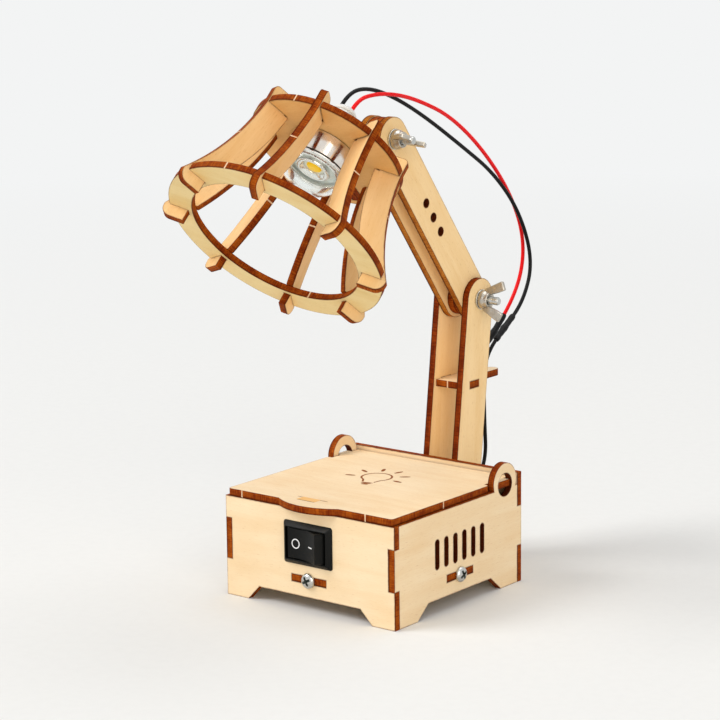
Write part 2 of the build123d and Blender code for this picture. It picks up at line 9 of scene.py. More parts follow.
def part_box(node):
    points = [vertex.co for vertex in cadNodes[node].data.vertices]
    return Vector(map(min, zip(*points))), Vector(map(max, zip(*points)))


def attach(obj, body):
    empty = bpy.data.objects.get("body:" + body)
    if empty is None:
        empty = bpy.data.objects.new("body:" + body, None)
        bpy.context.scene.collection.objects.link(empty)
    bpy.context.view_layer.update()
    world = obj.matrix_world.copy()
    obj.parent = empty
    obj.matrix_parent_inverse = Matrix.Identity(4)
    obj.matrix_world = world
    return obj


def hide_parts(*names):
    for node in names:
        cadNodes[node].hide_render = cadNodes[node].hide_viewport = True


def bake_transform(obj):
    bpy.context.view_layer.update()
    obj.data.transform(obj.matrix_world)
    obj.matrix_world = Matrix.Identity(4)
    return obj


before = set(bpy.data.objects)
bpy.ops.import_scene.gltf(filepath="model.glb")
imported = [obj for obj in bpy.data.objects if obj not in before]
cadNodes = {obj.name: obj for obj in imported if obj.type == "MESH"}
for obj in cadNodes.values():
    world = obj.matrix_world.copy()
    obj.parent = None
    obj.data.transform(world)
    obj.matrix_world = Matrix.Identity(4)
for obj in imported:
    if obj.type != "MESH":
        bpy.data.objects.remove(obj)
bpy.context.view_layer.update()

# places of the lamp's parts in mm, about the middle of the base
lampPlan = {"sheet": 2.5, "half": 36.8, "elbowY": 53.2, "elbowZ": 95.7, "armLean": 37.1, "armLength": 78.0,
            "headLean": 45.7, "pivotBack": 19.95, "pivotHeight": 61.35, "lampForward": 1.6}
mm = 0.001
sheet, half = lampPlan["sheet"], lampPlan["half"]
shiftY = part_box("base_front_panel")[0].y + half * mm
print("frame loaded, base stands at y", round(shiftY, 5))


def spin(axis, degrees):
    return Matrix.Rotation(math.radians(degrees), 4, axis)


def move(x, y, z):
    return Matrix.Translation((x, y, z))


basePlace = move(0, shiftY, 0) @ Matrix.Scale(mm, 4)
elbowPlace = basePlace @ move(0, lampPlan["elbowY"], lampPlan["elbowZ"])
armPlace = elbowPlace @ spin("X", lampPlan["armLean"])
pivotPlace = armPlace @ move(0, 0, lampPlan["armLength"]) @ spin("X", -lampPlan["armLean"])
headPlace = (pivotPlace @ spin("X", -lampPlan["headLean"])
             @ move(0, -lampPlan["pivotBack"], -lampPlan["pivotHeight"]))
lampPlace = headPlace @ move(0, -lampPlan["lampForward"], 0)
facingX = Matrix(((0, 0, 1, 0), (1, 0, 0, 0), (0, 1, 0, 0), (0, 0, 0, 1)))   # sheet lies in the YZ plane
facingY = Matrix(((1, 0, 0, 0), (0, 0, 1, 0), (0, 1, 0, 0), (0, 0, 0, 1)))   # sheet lies in the XZ plane
alongX = spin("Y", 90)


# node helpers

def srgb(*values):
    shares = [value / 255 for value in values]
    return tuple(v / 12.92 if v <= 0.04045 else ((v + 0.055) / 1.055) ** 2.4 for v in shares) + (1.0,)


def feed(tree, node, feeds):
    # each input takes a link or a plain value
    for label, value in dict(feeds).items():
        if isinstance(value, bpy.types.NodeSocket):
            tree.links.new(value, node.inputs[label])
        else:
            node.inputs[label].default_value = value
    return node


def nodeOn(tree, kind, feeds=(), **settings):
    # makes a node and gives its outputs
    node = tree.nodes.new(kind)
    for label, value in settings.items():
        setattr(node, label, value)
    return feed(tree, node, feeds).outputs


def mathOn(tree, operation, first, second=None, clamp=False):
    feeds = {0: first} if second is None else {0: first, 1: second}
    return nodeOn(tree, "ShaderNodeMath", feeds, operation=operation, use_clamp=clamp)[0]


def mixOn(tree, factor, first, second):
    return nodeOn(tree, "ShaderNodeMix", {0: factor, 6: first, 7: second}, data_type="RGBA")[2]


def noiseOn(tree, vector, stretch, detail, rough, bend=0.0):
    scaled = nodeOn(tree, "ShaderNodeVectorMath", {0: vector, 1: stretch}, operation="MULTIPLY")[0]
    return nodeOn(tree, "ShaderNodeTexNoise", {"Vector": scaled, "Scale": 1.0, "Detail": detail, "Roughness": rough,
                                               "Distortion": bend})["Fac"]


def rangeOn(tree, value, low, high, newLow=0.0, newHigh=1.0):
    return nodeOn(tree, "ShaderNodeMapRange", {"Value": value, "From Min": low, "From Max": high, "To Min": newLow,
                                               "To Max": newHigh})["Result"]


def toolsFor(tree):
    return [partial(tool, tree) for tool in (noiseOn, rangeOn, mathOn, mixOn)]


def blendSurface(tree, factor, first, second, output):
    # the surface turns from the first shader to the second by the factor
    mixed = nodeOn(tree, "ShaderNodeMixShader", {0: factor, 1: first, 2: second})
    tree.links.new(mixed[0], tree.nodes[output].inputs["Surface"])


def startTree(name, kind, inputs, outputs):
    # each socket is given by its kind, or by the number that it starts with
    tree = bpy.data.node_groups.new(name, kind)
    for way, sockets in (("INPUT", inputs), ("OUTPUT", outputs)):
        for label, value in sockets.items():
            named = isinstance(value, str)
            kind = "NodeSocket" + (value if named else type(value).__name__.title())
            socket = tree.interface.new_socket(name=label, in_out=way, socket_type=kind)
            if not named:
                socket.default_value = value
    return tree, tree.nodes.new("NodeGroupInput").outputs


def startGroup(name, colours, numbers):
    return startTree(name, "ShaderNodeTree", {"Coord": "Vector", **dict.fromkeys(colours, "Color"), **numbers},
                     {"Color": "Color", "Roughness": "Float", "Height": "Float"})


def endGroup(group, colour, roughness, height):
    nodeOn(group, "NodeGroupOutput", {"Color": colour, "Roughness": roughness, "Height": height})
    return group


def birchGrainGroup():
    # Coord is in mm: along the grain, across it, and through the sheet
    group, given = startGroup("birchGrain", ("Pale", "Deep", "Fleck", "Scorch"), {"Rim": 0.0})
    noise, span, calc, mix = toolsFor(group)
    coord = given["Coord"]
    bands = noise(coord, (0.018, 0.16, 0.4), 3.0, 0.55, 0.6)
    clouds = noise(coord, (0.05, 0.09, 0.2), 2.0, 0.5)
    fibres = noise(coord, (0.22, 7.0, 1.0), 2.0, 0.6)
    pores = noise(coord, (0.5, 5.2, 1.0), 1.0, 0.5)
    smoke = noise(coord, (0.35, 0.35, 0.5), 3.0, 0.6)
    tone = calc("ADD", span(bands, 0.35, 0.68, 0.0, 0.55), span(clouds, 0.4, 0.7, 0.0, 0.35))
    tone = calc("ADD", tone, span(fibres, 0.35, 0.7, -0.1, 0.22), True)
    fleck = span(pores, 0.66, 0.74, 0.0, 0.42)
    wood = mix(fleck, mix(tone, given["Pale"], given["Deep"]), given["Fleck"])
    burn = calc("MULTIPLY", calc("POWER", given["Rim"], 1.5), span(smoke, 0.3, 0.7, 0.3, 0.95), True)
    height = calc("SUBTRACT", fibres, calc("MULTIPLY", fleck, 0.9))
    return endGroup(group, mix(burn, wood, given["Scorch"]), span(fibres, 0.3, 0.7, 0.5, 0.66), height)


def burntEdgeGroup():
    # the third number of Coord runs through the sheet from face to face
    group, given = startGroup("burntEdge", ("Char", "Brown", "Amber"), {"Sheet": sheet, "Lines": 0.4})
    noise, span, calc, mix = toolsFor(group)
    coord, char, lines = given["Coord"], given["Char"], given["Lines"]
    through = nodeOn(group, "ShaderNodeSeparateXYZ", {0: coord})[2]
    depth = calc("DIVIDE", through, given["Sheet"])
    away = calc("ABSOLUTE", calc("SUBTRACT", depth, 0.5))
    streaks = noise(coord, (3.2, 3.2, 0.25), 3.0, 0.6)
    patches = noise(coord, (0.16, 0.16, 0.3), 3.0, 0.6)
    fine = noise(coord, (0.9, 0.9, 3.5), 2.0, 0.6)
    warm = calc("ADD", span(patches, 0.36, 0.66, 0.0, 0.6), span(streaks, 0.34, 0.68, -0.32, 0.5))
    warm = calc("ADD", warm, span(fine, 0.35, 0.65, -0.12, 0.12), True)
    core = span(away, 0.13, 0.19, 0.2, 0.0)       # the cross ply in the middle is darker
    wood = mix(core, mix(warm, given["Brown"], given["Amber"]), char)
    glue = calc("ABSOLUTE", calc("SUBTRACT", away, 0.165))
    wood = mix(calc("MULTIPLY", span(glue, 0.0, 0.04, 1.0, 0.0), lines, True), wood, char)
    nearFirstFace = span(depth, 0.1, 0.32, 1.0, 0.0)     # the cut is darker near the first face of the sheet, and less so near the second
    nearSecondFace = span(depth, 0.86, 0.97, 0.0, 0.6)
    border = calc("MULTIPLY", calc("MAXIMUM", nearFirstFace, nearSecondFace), calc("ADD", lines, 0.45), True)
    height = calc("ADD", streaks, calc("MULTIPLY", core, -0.6))
    return endGroup(group, mix(border, wood, char), span(streaks, 0.3, 0.7, 0.5, 0.72), height)


def metalWearGroup():
    group, given = startGroup("metalWear", ("Bright", "Dull"), {"Polish": 0.25})
    noise, span, calc, mix = toolsFor(group)
    stain = noise(given["Coord"], (420, 420, 420), 4.0, 0.6)
    scratch = noise(given["Coord"], (2600, 2600, 500), 2.0, 0.6)
    tone = calc("ADD", span(stain, 0.35, 0.7, 0.0, 0.8), span(scratch, 0.45, 0.7, 0.0, 0.3), True)
    rough = calc("ADD", given["Polish"], span(stain, 0.35, 0.7, -0.06, 0.14))
    return endGroup(group, mix(tone, given["Bright"], given["Dull"]), rough, scratch)


def mouldedGroup():
    group, given = startGroup("mouldedSkin", ("Body", "Dust"), {"Grain": 1.0, "Gloss": 0.4})
    noise, span, calc, mix = toolsFor(group)
    pits = noise(given["Coord"], (5200, 5200, 5200), 2.0, 0.5)
    cloud = noise(given["Coord"], (160, 160, 160), 3.0, 0.55)
    colour = mix(span(cloud, 0.4, 0.75, 0.0, 0.35), given["Body"], given["Dust"])
    rough = calc("ADD", given["Gloss"], span(cloud, 0.3, 0.7, -0.05, 0.1))
    return endGroup(group, colour, rough, calc("MULTIPLY", pits, given["Grain"]))


birchGrain, burntEdge = birchGrainGroup(), burntEdgeGroup()
metalWear, mouldedSkin = metalWearGroup(), mouldedGroup()


def attributeOn(tree, name, output):
    return nodeOn(tree, "ShaderNodeAttribute", attribute_name=name)[output]


def plyCoordOn(tree):
    # pieces that are repeated carry a shift, so that each has its own stretch of grain
    moved = attributeOn(tree, "pieceShift", "Fac")
    shift = nodeOn(tree, "ShaderNodeCombineXYZ", {0: moved, 1: moved})[0]
    coord = attributeOn(tree, "plyCoord", "Vector")
    return nodeOn(tree, "ShaderNodeVectorMath", {0: coord, 1: shift}, operation="ADD")[0]


def groupMaterial(name, group, values, bump, settings):
    material = bpy.data.materials.new(name)
    material.use_nodes = True
    tree = material.node_tree
    feeds = dict(values)
    if group in (birchGrain, burntEdge):
        feeds["Coord"] = plyCoordOn(tree)
    else:
        feeds["Coord"] = nodeOn(tree, "ShaderNodeTexCoord")["Object"]
    if group == birchGrain:
        feeds["Rim"] = attributeOn(tree, "rim", "Fac")
    made = nodeOn(tree, "ShaderNodeGroup", feeds, node_tree=group)
    strength, distance = bump
    lift = nodeOn(tree, "ShaderNodeBump", {"Strength": strength, "Distance": distance * mm, "Height": made["Height"]})
    feed(tree, tree.nodes["Principled BSDF"], {"Base Color": made["Color"], "Roughness": made["Roughness"],
                                               "Normal": lift["Normal"], **settings})
    return material


def shine(level):
    return {"Specular IOR Level": level}


def wood(name, pale, deep, fleck, scorch, bump=(0.25, 0.06)):
    tones = {"Pale": srgb(*pale), "Deep": srgb(*deep), "Fleck": srgb(*fleck), "Scorch": srgb(*scorch)}
    return groupMaterial(name, birchGrain, tones, bump, shine(0.25))


def cut(name, char, brown, amber, lines):
    tones = {"Char": srgb(*char), "Brown": srgb(*brown), "Amber": srgb(*amber), "Lines": lines}
    return groupMaterial(name, burntEdge, tones, (0.35, 0.1), shine(0.04))


def metal(name, bright, dull, polish, bump, metallic=1.0):
    return groupMaterial(name, metalWear, {"Bright": bright, "Dull": dull, "Polish": polish}, bump,
                         {"Metallic": metallic})


def skin(name, body, dust, grain, gloss, bump, settings):
    tones = {"Body": srgb(*body), "Dust": srgb(*dust), "Grain": grain, "Gloss": gloss}
    return groupMaterial(name, mouldedSkin, tones, bump, settings)


birchFace = wood("birchFace", (248, 225, 188), (239, 207, 161), (206, 160, 104), (104, 40, 8))
# deeper, more orange birch for the ribs: painted shade and warm bounced light inside the lampshade
ribWoodPaintedShade = wood("ribBirchPaintedShade", (245, 207, 152), (231, 184, 120), (196, 140, 78), (96, 34, 6))
ringWood = wood("ringBirch", (241, 216, 158), (228, 196, 130), (192, 148, 84), (96, 34, 6))
# darker, warmer birch for the underside of the shade's top plate: painted shade under the plate
plateWoodPaintedShade = wood("plateBirchPaintedShade", (234, 188, 122), (217, 162, 90), (176, 118, 58), (44, 14, 3))
armFaceWood = wood("armBirch", (252, 220, 168), (241, 202, 142), (204, 154, 92), (104, 40, 8))
bridgeWood = wood("bridgeWood", (252, 236, 212), (232, 196, 150), (196, 140, 88), (214, 170, 124), (0.4, 0.1))
burntCut = cut("burntCut", (58, 14, 2), (122, 42, 5), (186, 94, 22), 0.3)
goldenCut = cut("goldenCut", (62, 20, 3), (160, 86, 20), (214, 138, 52), 0.62)
sootCut = cut("sootCut", (42, 11, 2), (100, 31, 4), (156, 66, 14), 0.3)
charCut = cut("charCut", (34, 12, 5), (70, 20, 4), (110, 46, 12), 0.4)
zinc = metal("zincPlate", (0.62, 0.62, 0.60, 1), (0.46, 0.46, 0.44, 1), 0.24, (0.04, 0.02))
castZinc = metal("castZinc", (0.55, 0.51, 0.45, 1), (0.40, 0.37, 0.32, 1), 0.3, (0.06, 0.03))
nickel = metal("nickelContact", (0.83, 0.8, 0.74, 1), (0.6, 0.57, 0.52, 1), 0.22, (0.06, 0.03))
silver = metal("silverRing", (0.9, 0.89, 0.86, 1), (0.74, 0.73, 0.7, 1), 0.1, (0.04, 0.02))
sinkPolish = metal("sinkPolish", (0.80, 0.745, 0.68, 1), (0.71, 0.645, 0.57, 1), 0.13, (0.02, 0.01))
# dark metal of the trim's outer band, also painted on the sink's top edge as the shadow under the plate
trimDarkAndPaintedShadow = metal("trimDarkAndPaintedShadow", srgb(112, 106, 98), srgb(66, 60, 54), 0.28, (0.05, 0.02), 0.8)
# dark grey for the walls of the screws' cross recesses: painted shade in the recess
recessPaintedShade = skin("recessPaintedShade", (58, 66, 61), (38, 44, 41), 0.6, 0.6, (0.04, 0.02), shine(0.2))
engraved = skin("engravedLine", (138, 74, 28), (184, 122, 66), 1.0, 0.7, (0.2, 0.05), shine(0.1))
pullMark = skin("pullMark", (243, 194, 128), (232, 174, 100), 1.0, 0.7, (0.2, 0.05), shine(0.1))
switchBlack = skin("switchBlack", (5, 6, 5), (12, 12, 11), 1.0, 0.46, (0.12, 0.02), shine(0.16))
markWhite = skin("markWhite", (232, 233, 234), (205, 206, 208), 0.6, 0.5, (0.08, 0.02), {})
trayBlack = skin("trayBlack", (40, 40, 42), (62, 62, 64), 1.0, 0.45, (0.15, 0.03), {})
cellJacket = skin("cellJacket", (58, 104, 150), (74, 120, 164), 0.2, 0.25, (0.05, 0.02), {"Coat Weight": 0.4})
blackSkin = skin("blackInsulation", (7, 7, 8), (15, 15, 16), 0.3, 0.4, (0.04, 0.02), shine(0.16))
redSkin = skin("redInsulation", (238, 2, 12), (214, 2, 9), 0.3, 0.4, (0.04, 0.02), shine(0.2))
shrinkSkin = skin("heatShrink", (9, 9, 10), (20, 20, 21), 1.0, 0.46, (0.2, 0.05), shine(0.2))
boardWhite = skin("boardWhite", (242, 250, 245), (224, 238, 230), 0.2, 0.3, (0.04, 0.02), {})
neckWhite = skin("neckWhite", (226, 226, 224), (200, 199, 195), 0.3, 0.25, (0.05, 0.02), {"Coat Weight": 0.2})
# the unlit LED's yellow phosphor is given a faint emission: a painted glow
ledYellowPaintedGlow = skin("ledYellowPaintedGlow", (255, 206, 0), (248, 190, 0), 0.5, 0.5, (0.1, 0.03),
                 {**shine(0.2), "Emission Color": srgb(255, 190, 0), "Emission Strength": 0.22})


def clearLensMaterial():
    material = groupMaterial("clearLens", mouldedSkin, {"Body": (0.97, 0.99, 0.98, 1), "Dust": (0.93, 0.97, 0.95, 1),
                                                        "Grain": 0.1, "Gloss": 0.03},
                             (0.02, 0.01), {"Transmission Weight": 1.0, "IOR": 1.46})
    tree = material.node_tree
    shadow = nodeOn(tree, "ShaderNodeLightPath")["Is Shadow Ray"]
    clear = nodeOn(tree, "ShaderNodeBsdfTransparent")[0]     # lets the lamps' light in to the LED
    blendSurface(tree, shadow, tree.nodes["Principled BSDF"].outputs[0], clear, "Material Output")
    return material


clearLens = clearLensMaterial()
print("materials made", len(bpy.data.materials))


# mesh helpers

def linked(name, data):
    piece = bpy.data.objects.new(name, data)
    bpy.context.scene.collection.objects.link(piece)
    return piece


def smoothed(mesh, degrees):
    mesh.polygons.foreach_set("use_smooth", [True] * len(mesh.polygons))
    mesh.set_sharp_from_angle(angle=math.radians(degrees))
    return mesh


def placed(mesh, place):
    mesh.transform(place)
    if place.to_3x3().determinant() < 0:
        mesh.flip_normals()
    return mesh


def settle(name, mesh, place, body, stands=(), degrees=32):
    if place:
        placed(mesh, place)
    piece = linked(name, smoothed(mesh, degrees))
    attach(piece, body)
    if stands:
        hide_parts(*stands)
    return piece


def baked(piece):
    # the mesh with its modifiers applied
    bpy.context.view_layer.update()
    graph = bpy.context.evaluated_depsgraph_get()
    mesh = bpy.data.meshes.new_from_object(piece.evaluated_get(graph), preserve_all_data_layers=True, depsgraph=graph)
    bpy.data.objects.remove(piece)
    return mesh


def painted(mesh, materials):
    for material in materials:
        mesh.materials.append(material)
    return mesh


def plainMesh(name, points, faces, materials):
    mesh = bpy.data.meshes.new(name)
    mesh.from_pydata([tuple(point) for point in points], [], faces)
    return painted(mesh, materials)


def meshOf(name, built, materials):
    mesh = bpy.data.meshes.new(name)
    built.to_mesh(mesh)
    built.free()
    return painted(mesh, materials)


def joined(name, meshes):
    # several meshes as one, with their material slots kept apart
    built = bmesh.new()
    materials = []
    for mesh in meshes:
        start = len(built.faces)
        materials += [material for material in mesh.materials if material not in materials]
        indexes = [materials.index(material) for material in mesh.materials]
        built.from_mesh(mesh)
        built.faces.ensure_lookup_table()
        for face in built.faces[start:]:
            face.material_index = indexes[face.material_index]
    return meshOf(name, built, materials)


def onCircle(radius, degrees, cx=0, cy=0):
    angle = math.radians(degrees)
    return (cx + radius * math.cos(angle), cy + radius * math.sin(angle))


arcDims = {"sag": 0.012, "widestStep": 12, "fewest": 3}


def arcPoints(cx, cy, radius, start, end):
    # points along an arc in degrees, both ends included, as many as keep it smooth
    step = math.degrees(2 * math.acos(1 - min(0.5, arcDims["sag"] / radius)))
    count = max(arcDims["fewest"], math.ceil(abs(end - start) / min(step, arcDims["widestStep"])))
    return [onCircle(radius, start + (end - start) * i / count, cx, cy) for i in range(count + 1)]


def bowPoints(start, end, bow):
    # an arc between two points that bows to the right of the way by the given height
    a, b = Vector(start), Vector(end)
    chord = (b - a).length
    radius = (chord * chord / 4 + bow * bow) / (2 * abs(bow))
    way = (b - a).normalized()
    side = Vector((way.y, -way.x)) * (1 if bow > 0 else -1)
    centre = (a + b) / 2 - side * (radius - abs(bow))
    first = math.degrees(math.atan2(a.y - centre.y, a.x - centre.x))
    last = math.degrees(math.atan2(b.y - centre.y, b.x - centre.x))
    turn = (last - first + 180) % 360 - 180
    return arcPoints(centre.x, centre.y, radius, first, first + turn)


def circleLoop(cx, cy, radius):
    return arcPoints(cx, cy, radius, 360, 0)[:-1]


def boxLoop(lowX, lowY, highX, highY):
    return [(lowX, lowY), (lowX, highY), (highX, highY), (highX, lowY)]


def roundedBox(halfX, halfY, radius, steps=5):
    loop = []
    for x, y, start in ((1, -1, -90), (1, 1, 0), (-1, 1, 90), (-1, -1, 180)):
        px, py = x * (halfX - radius), y * (halfY - radius)
        loop += [onCircle(radius, start + 90 * i / steps, px, py) for i in range(steps + 1)]
    return loop


def mirrored(points):
    return [(-x, y) for x, y in reversed(points)]


def quarterTurns(points):
    return [(x * c - y * s, x * s + y * c) for c, s in ((1, 0), (0, 1), (-1, 0), (0, -1)) for x, y in points]


def evenLine(x1, y1, x2, y2, steps=8):
    return [(x1 + (x2 - x1) * i / steps, y1 + (y2 - y1) * i / steps) for i in range(steps + 1)]


def area(loop):
    return sum(a[0] * b[1] - b[0] * a[1] for a, b in zip(loop, loop[1:] + loop[:1])) / 2


def insetLoop(loop, distance):
    moved = []
    for i, (x, y) in enumerate(loop):
        before = Vector((x - loop[i - 1][0], y - loop[i - 1][1])).normalized()
        following = loop[(i + 1) % len(loop)]
        after = Vector((following[0] - x, following[1] - y)).normalized()
        first, second = Vector((-before.y, before.x)), Vector((-after.y, after.x))
        step = (first + second) * (distance / max(0.4, 1 + first.dot(second)))
        moved.append((x + step.x, y + step.y))
    return moved


def markedLoop(loop, marks, halfMark):
    # puts extra points round each mark, and tells which stretches lie inside one
    ends = loop[1:] + loop[:1]
    lengths = [(Vector(b) - Vector(a)).length for a, b in zip(loop, ends)]
    starts = [sum(lengths[:i]) for i in range(len(loop))]
    total = sum(lengths)
    centres = []
    for mark in marks:
        near = []
        for a, b, start, length in zip(loop, ends, starts, lengths):
            way = Vector(b) - Vector(a)
            share = max(0, min(1, (Vector(mark) - Vector(a)).dot(way) / max(length * length, 1e-9)))
            near.append(((Vector(a) + way * share - Vector(mark)).length, start + share * length))
        centres.append(min(near, key=lambda found: found[0])[1])
    places = starts + [(c + side) % total for c in centres for side in (-halfMark, halfMark)]
    kept = []
    for place in sorted(places):
        if not kept or place - kept[-1] > 0.02 or place in starts:
            kept.append(place)
    points, inside = [], []
    for place, following in zip(kept, kept[1:] + [kept[0] + total]):
        index = max(k for k, start in enumerate(starts) if start <= place + 1e-9)
        share = (place - starts[index]) / max(lengths[index], 1e-9)
        points.append(tuple(Vector(loop[index]).lerp(Vector(ends[index]), share)))
        middle = (place + following) / 2
        inside.append(any(abs((middle - c + total / 2) % total - total / 2) < halfMark for c in centres))
    return points, inside


plyDims = {"bevel": 0.07, "rim": 0.45, "tick": 0.26, "grainShift": (61.7, 23.9)}
sawn = (birchFace, burntCut, bridgeWood, burntCut)


def sheetMesh(name, outer, holes=(), thick=sheet, bevel=plyDims["bevel"], rim=plyDims["rim"], grain=0, seed=1,
              ticks=(), holeTicks=(), materials=sawn):
    # a cut sheet in its own plane: faces, eased edges, and a narrow scorched rim on each face
    loops = [list(outer) if area(outer) > 0 else list(reversed(outer))]
    loops += [list(hole) if area(hole) < 0 else list(reversed(hole)) for hole in holes]
    layers = ((bevel + rim, 0), (bevel, 0), (0, bevel), (0, thick - bevel), (bevel, thick), (bevel + rim, thick))
    points, rims, faces, parts, caps = [], [], [], [], []
    for number, loop in enumerate(loops):
        marks = (ticks, holeTicks)[number] if number < 2 else ()
        loop, inside = markedLoop(loop, marks, plyDims["tick"]) if marks else (loop, [False] * len(loop))
        count, start = len(loop), len(points)
        for inset, height in layers:
            points += [(x, y, height) for x, y in (insetLoop(loop, inset) if inset else loop)]
        rims += [0.0] * count + [1.0] * (4 * count) + [0.0] * count
        for layer in range(5):
            low, high = start + layer * count, start + (layer + 1) * count
            for i in range(count):
                j = (i + 1) % count
                faces.append((low + i, low + j, high + j, high + i))
                parts.append(0 if layer in (0, 4) else 2 if inside[i] else 3 if number else 1)
        caps.append((start, count))
    for layer, up in ((5, True), (0, False)):
        rings = [[Vector(points[start + layer * count + i]) for i in range(count)] for start, count in caps]
        index = [start + layer * count + i for start, count in caps for i in range(count)]
        for triangle in tessellate_polygon(rings):
            a, b, c = (index[k] for k in triangle)
            turn = area([points[a][:2], points[b][:2], points[c][:2]])
            if abs(turn) > 1e-9:
                faces.append((a, b, c) if (turn > 0) == up else (a, c, b))
                parts.append(0)
    mesh = plainMesh(name, points, faces, materials)
    mesh.polygons.foreach_set("material_index", parts)
    c, s = math.cos(math.radians(grain)), math.sin(math.radians(grain))
    alongShift, acrossShift = (seed * step for step in plyDims["grainShift"])
    coords = []
    for x, y, z in points:
        coords += [x * c + y * s + alongShift, -x * s + y * c + acrossShift, z]
    mesh.attributes.new("plyCoord", "FLOAT_VECTOR", "POINT").data.foreach_set("vector", coords)
    mesh.attributes.new("rim", "FLOAT", "POINT").data.foreach_set("value", rims)
    mesh.attributes.new("part", "INT", "FACE").data.foreach_set("value", parts)
    return mesh


def plyPiece(name, body, node, place, outer, holes=(), **look):
    return settle(name, sheetMesh(name, outer, holes, **look), place, body, [node])


def plyPair(owner, part, body, place, lows, seed, outer, holes, **look):
    # the same piece on the left and on the right, upright in the YZ plane
    for number, (side, low) in enumerate(zip(("Left", "Right"), lows)):
        plyPiece(owner + part.title() + side, body, "_".join((owner, side.lower(), part)),
                 place @ move(low, 0, 0) @ facingX, outer, holes, seed=seed + number, **look)


def latheMesh(name, profile, materials, segments, closed=False):
    # turns (radius, height) points round Z
    built = bmesh.new()
    rings = []
    for radius, height in profile:
        turns = [2 * math.pi * i / segments for i in range(segments)] if radius > 1e-6 else [0]
        rings.append([built.verts.new((radius * math.cos(t), radius * math.sin(t), height)) for t in turns])
    for low, high in list(zip(rings, rings[1:])) + ([(rings[-1], rings[0])] if closed else []):
        for i in range(segments):
            j = (i + 1) % segments
            if len(low) == 1 and len(high) > 1:
                built.faces.new((low[0], high[j], high[i]))
            elif len(high) == 1 and len(low) > 1:
                built.faces.new((low[i], low[j], high[0]))
            elif len(low) > 1:
                built.faces.new((low[i], low[j], high[j], high[i]))
    bmesh.ops.recalc_face_normals(built, faces=built.faces)
    return meshOf(name, built, materials)


def turnedPiece(name, profile, place, body, slot, node, materials, segments=64, degrees=40, closed=False, second=None):
    # a turned piece; where second says so, faces take the second material
    mesh = latheMesh(name, profile, materials, segments, closed)
    for face in mesh.polygons if second else ():
        face.material_index = int(second(face.center))
    settle(name, mesh, place, body, [node], degrees)


def softProfile(points, radius, steps=3):
    # rounds the inner corners of a profile, whose two ends stay
    result = [points[0]]
    for before, corner, after in zip(points, points[1:], points[2:]):
        a, p, b = Vector(before), Vector(corner), Vector(after)
        reach = min(radius, (a - p).length * 0.45, (b - p).length * 0.45)
        first, last = p + (a - p).normalized() * reach, p + (b - p).normalized() * reach
        for i in range(steps + 1):
            t = i / steps
            result.append(tuple(first * (1 - t) ** 2 + p * (2 * t * (1 - t)) + last * t * t))
    return result + [points[-1]]


def loftMesh(name, rings, materials):
    # rings of equal count, skinned and capped
    count, layers = len(rings[0]), len(rings) - 1
    faces = []
    for low in range(0, layers * count, count):
        for i in range(count):
            j = (i + 1) % count
            faces.append((low + i, low + j, low + count + j, low + count + i))
    faces += [tuple(reversed(range(count))), tuple(layers * count + i for i in range(count))]
    return plainMesh(name, [point for ring in rings for point in ring], faces, materials)


def carved(mesh, cutter):
    piece, tool = linked("carving", mesh), linked("cutter", cutter)
    cutting = piece.modifiers.new("cut", "BOOLEAN")
    cutting.operation = "DIFFERENCE"
    cutting.solver = "EXACT"
    cutting.object = tool
    result = baked(piece)
    bpy.data.objects.remove(tool)
    return result


# geometry node trees

def startShape(name, inputs):
    shape = {"Geometry": "Geometry"}
    return startTree(name, "GeometryNodeTree", {**shape, **inputs}, shape)


def repeatRoundTree():
    # repeats a mesh evenly round Z, and paints its faces, cuts and bridges
    tree, given = startShape("repeatRound", {"Count": 8, "Start Angle": 0.0, "Grain Step": 0.0,
                                             **dict.fromkeys(("Face", "Cut", "Bridge"), "Material")})
    points = nodeOn(tree, "GeometryNodePoints", {"Count": given["Count"]})[0]
    index = nodeOn(tree, "GeometryNodeInputIndex")[0]
    step = mathOn(tree, "DIVIDE", 2 * math.pi, given["Count"])
    angle = mathOn(tree, "ADD", mathOn(tree, "MULTIPLY", index, step), given["Start Angle"])
    turn = nodeOn(tree, "ShaderNodeCombineXYZ", {"Z": angle})[0]
    last = nodeOn(tree, "GeometryNodeInstanceOnPoints", {"Points": points, "Instance": given["Geometry"],
                                                         "Rotation": turn})[0]
    shift = mathOn(tree, "MULTIPLY", index, given["Grain Step"])
    last = nodeOn(tree, "GeometryNodeStoreNamedAttribute", {"Geometry": last, "Name": "pieceShift", "Value": shift},
                  data_type="FLOAT", domain="INSTANCE")[0]
    last = nodeOn(tree, "GeometryNodeRealizeInstances", {0: last})[0]
    part = nodeOn(tree, "GeometryNodeInputNamedAttribute", {"Name": "part"}, data_type="INT")["Attribute"]
    for value, label in enumerate(("Face", "Cut", "Bridge")):
        same = nodeOn(tree, "FunctionNodeCompare", {2: part, 3: value}, data_type="INT", operation="EQUAL")[0]
        last = nodeOn(tree, "GeometryNodeSetMaterial", {"Geometry": last, "Selection": same,
                                                        "Material": given[label]})[0]
    nodeOn(tree, "NodeGroupOutput", {"Geometry": last})
    return tree


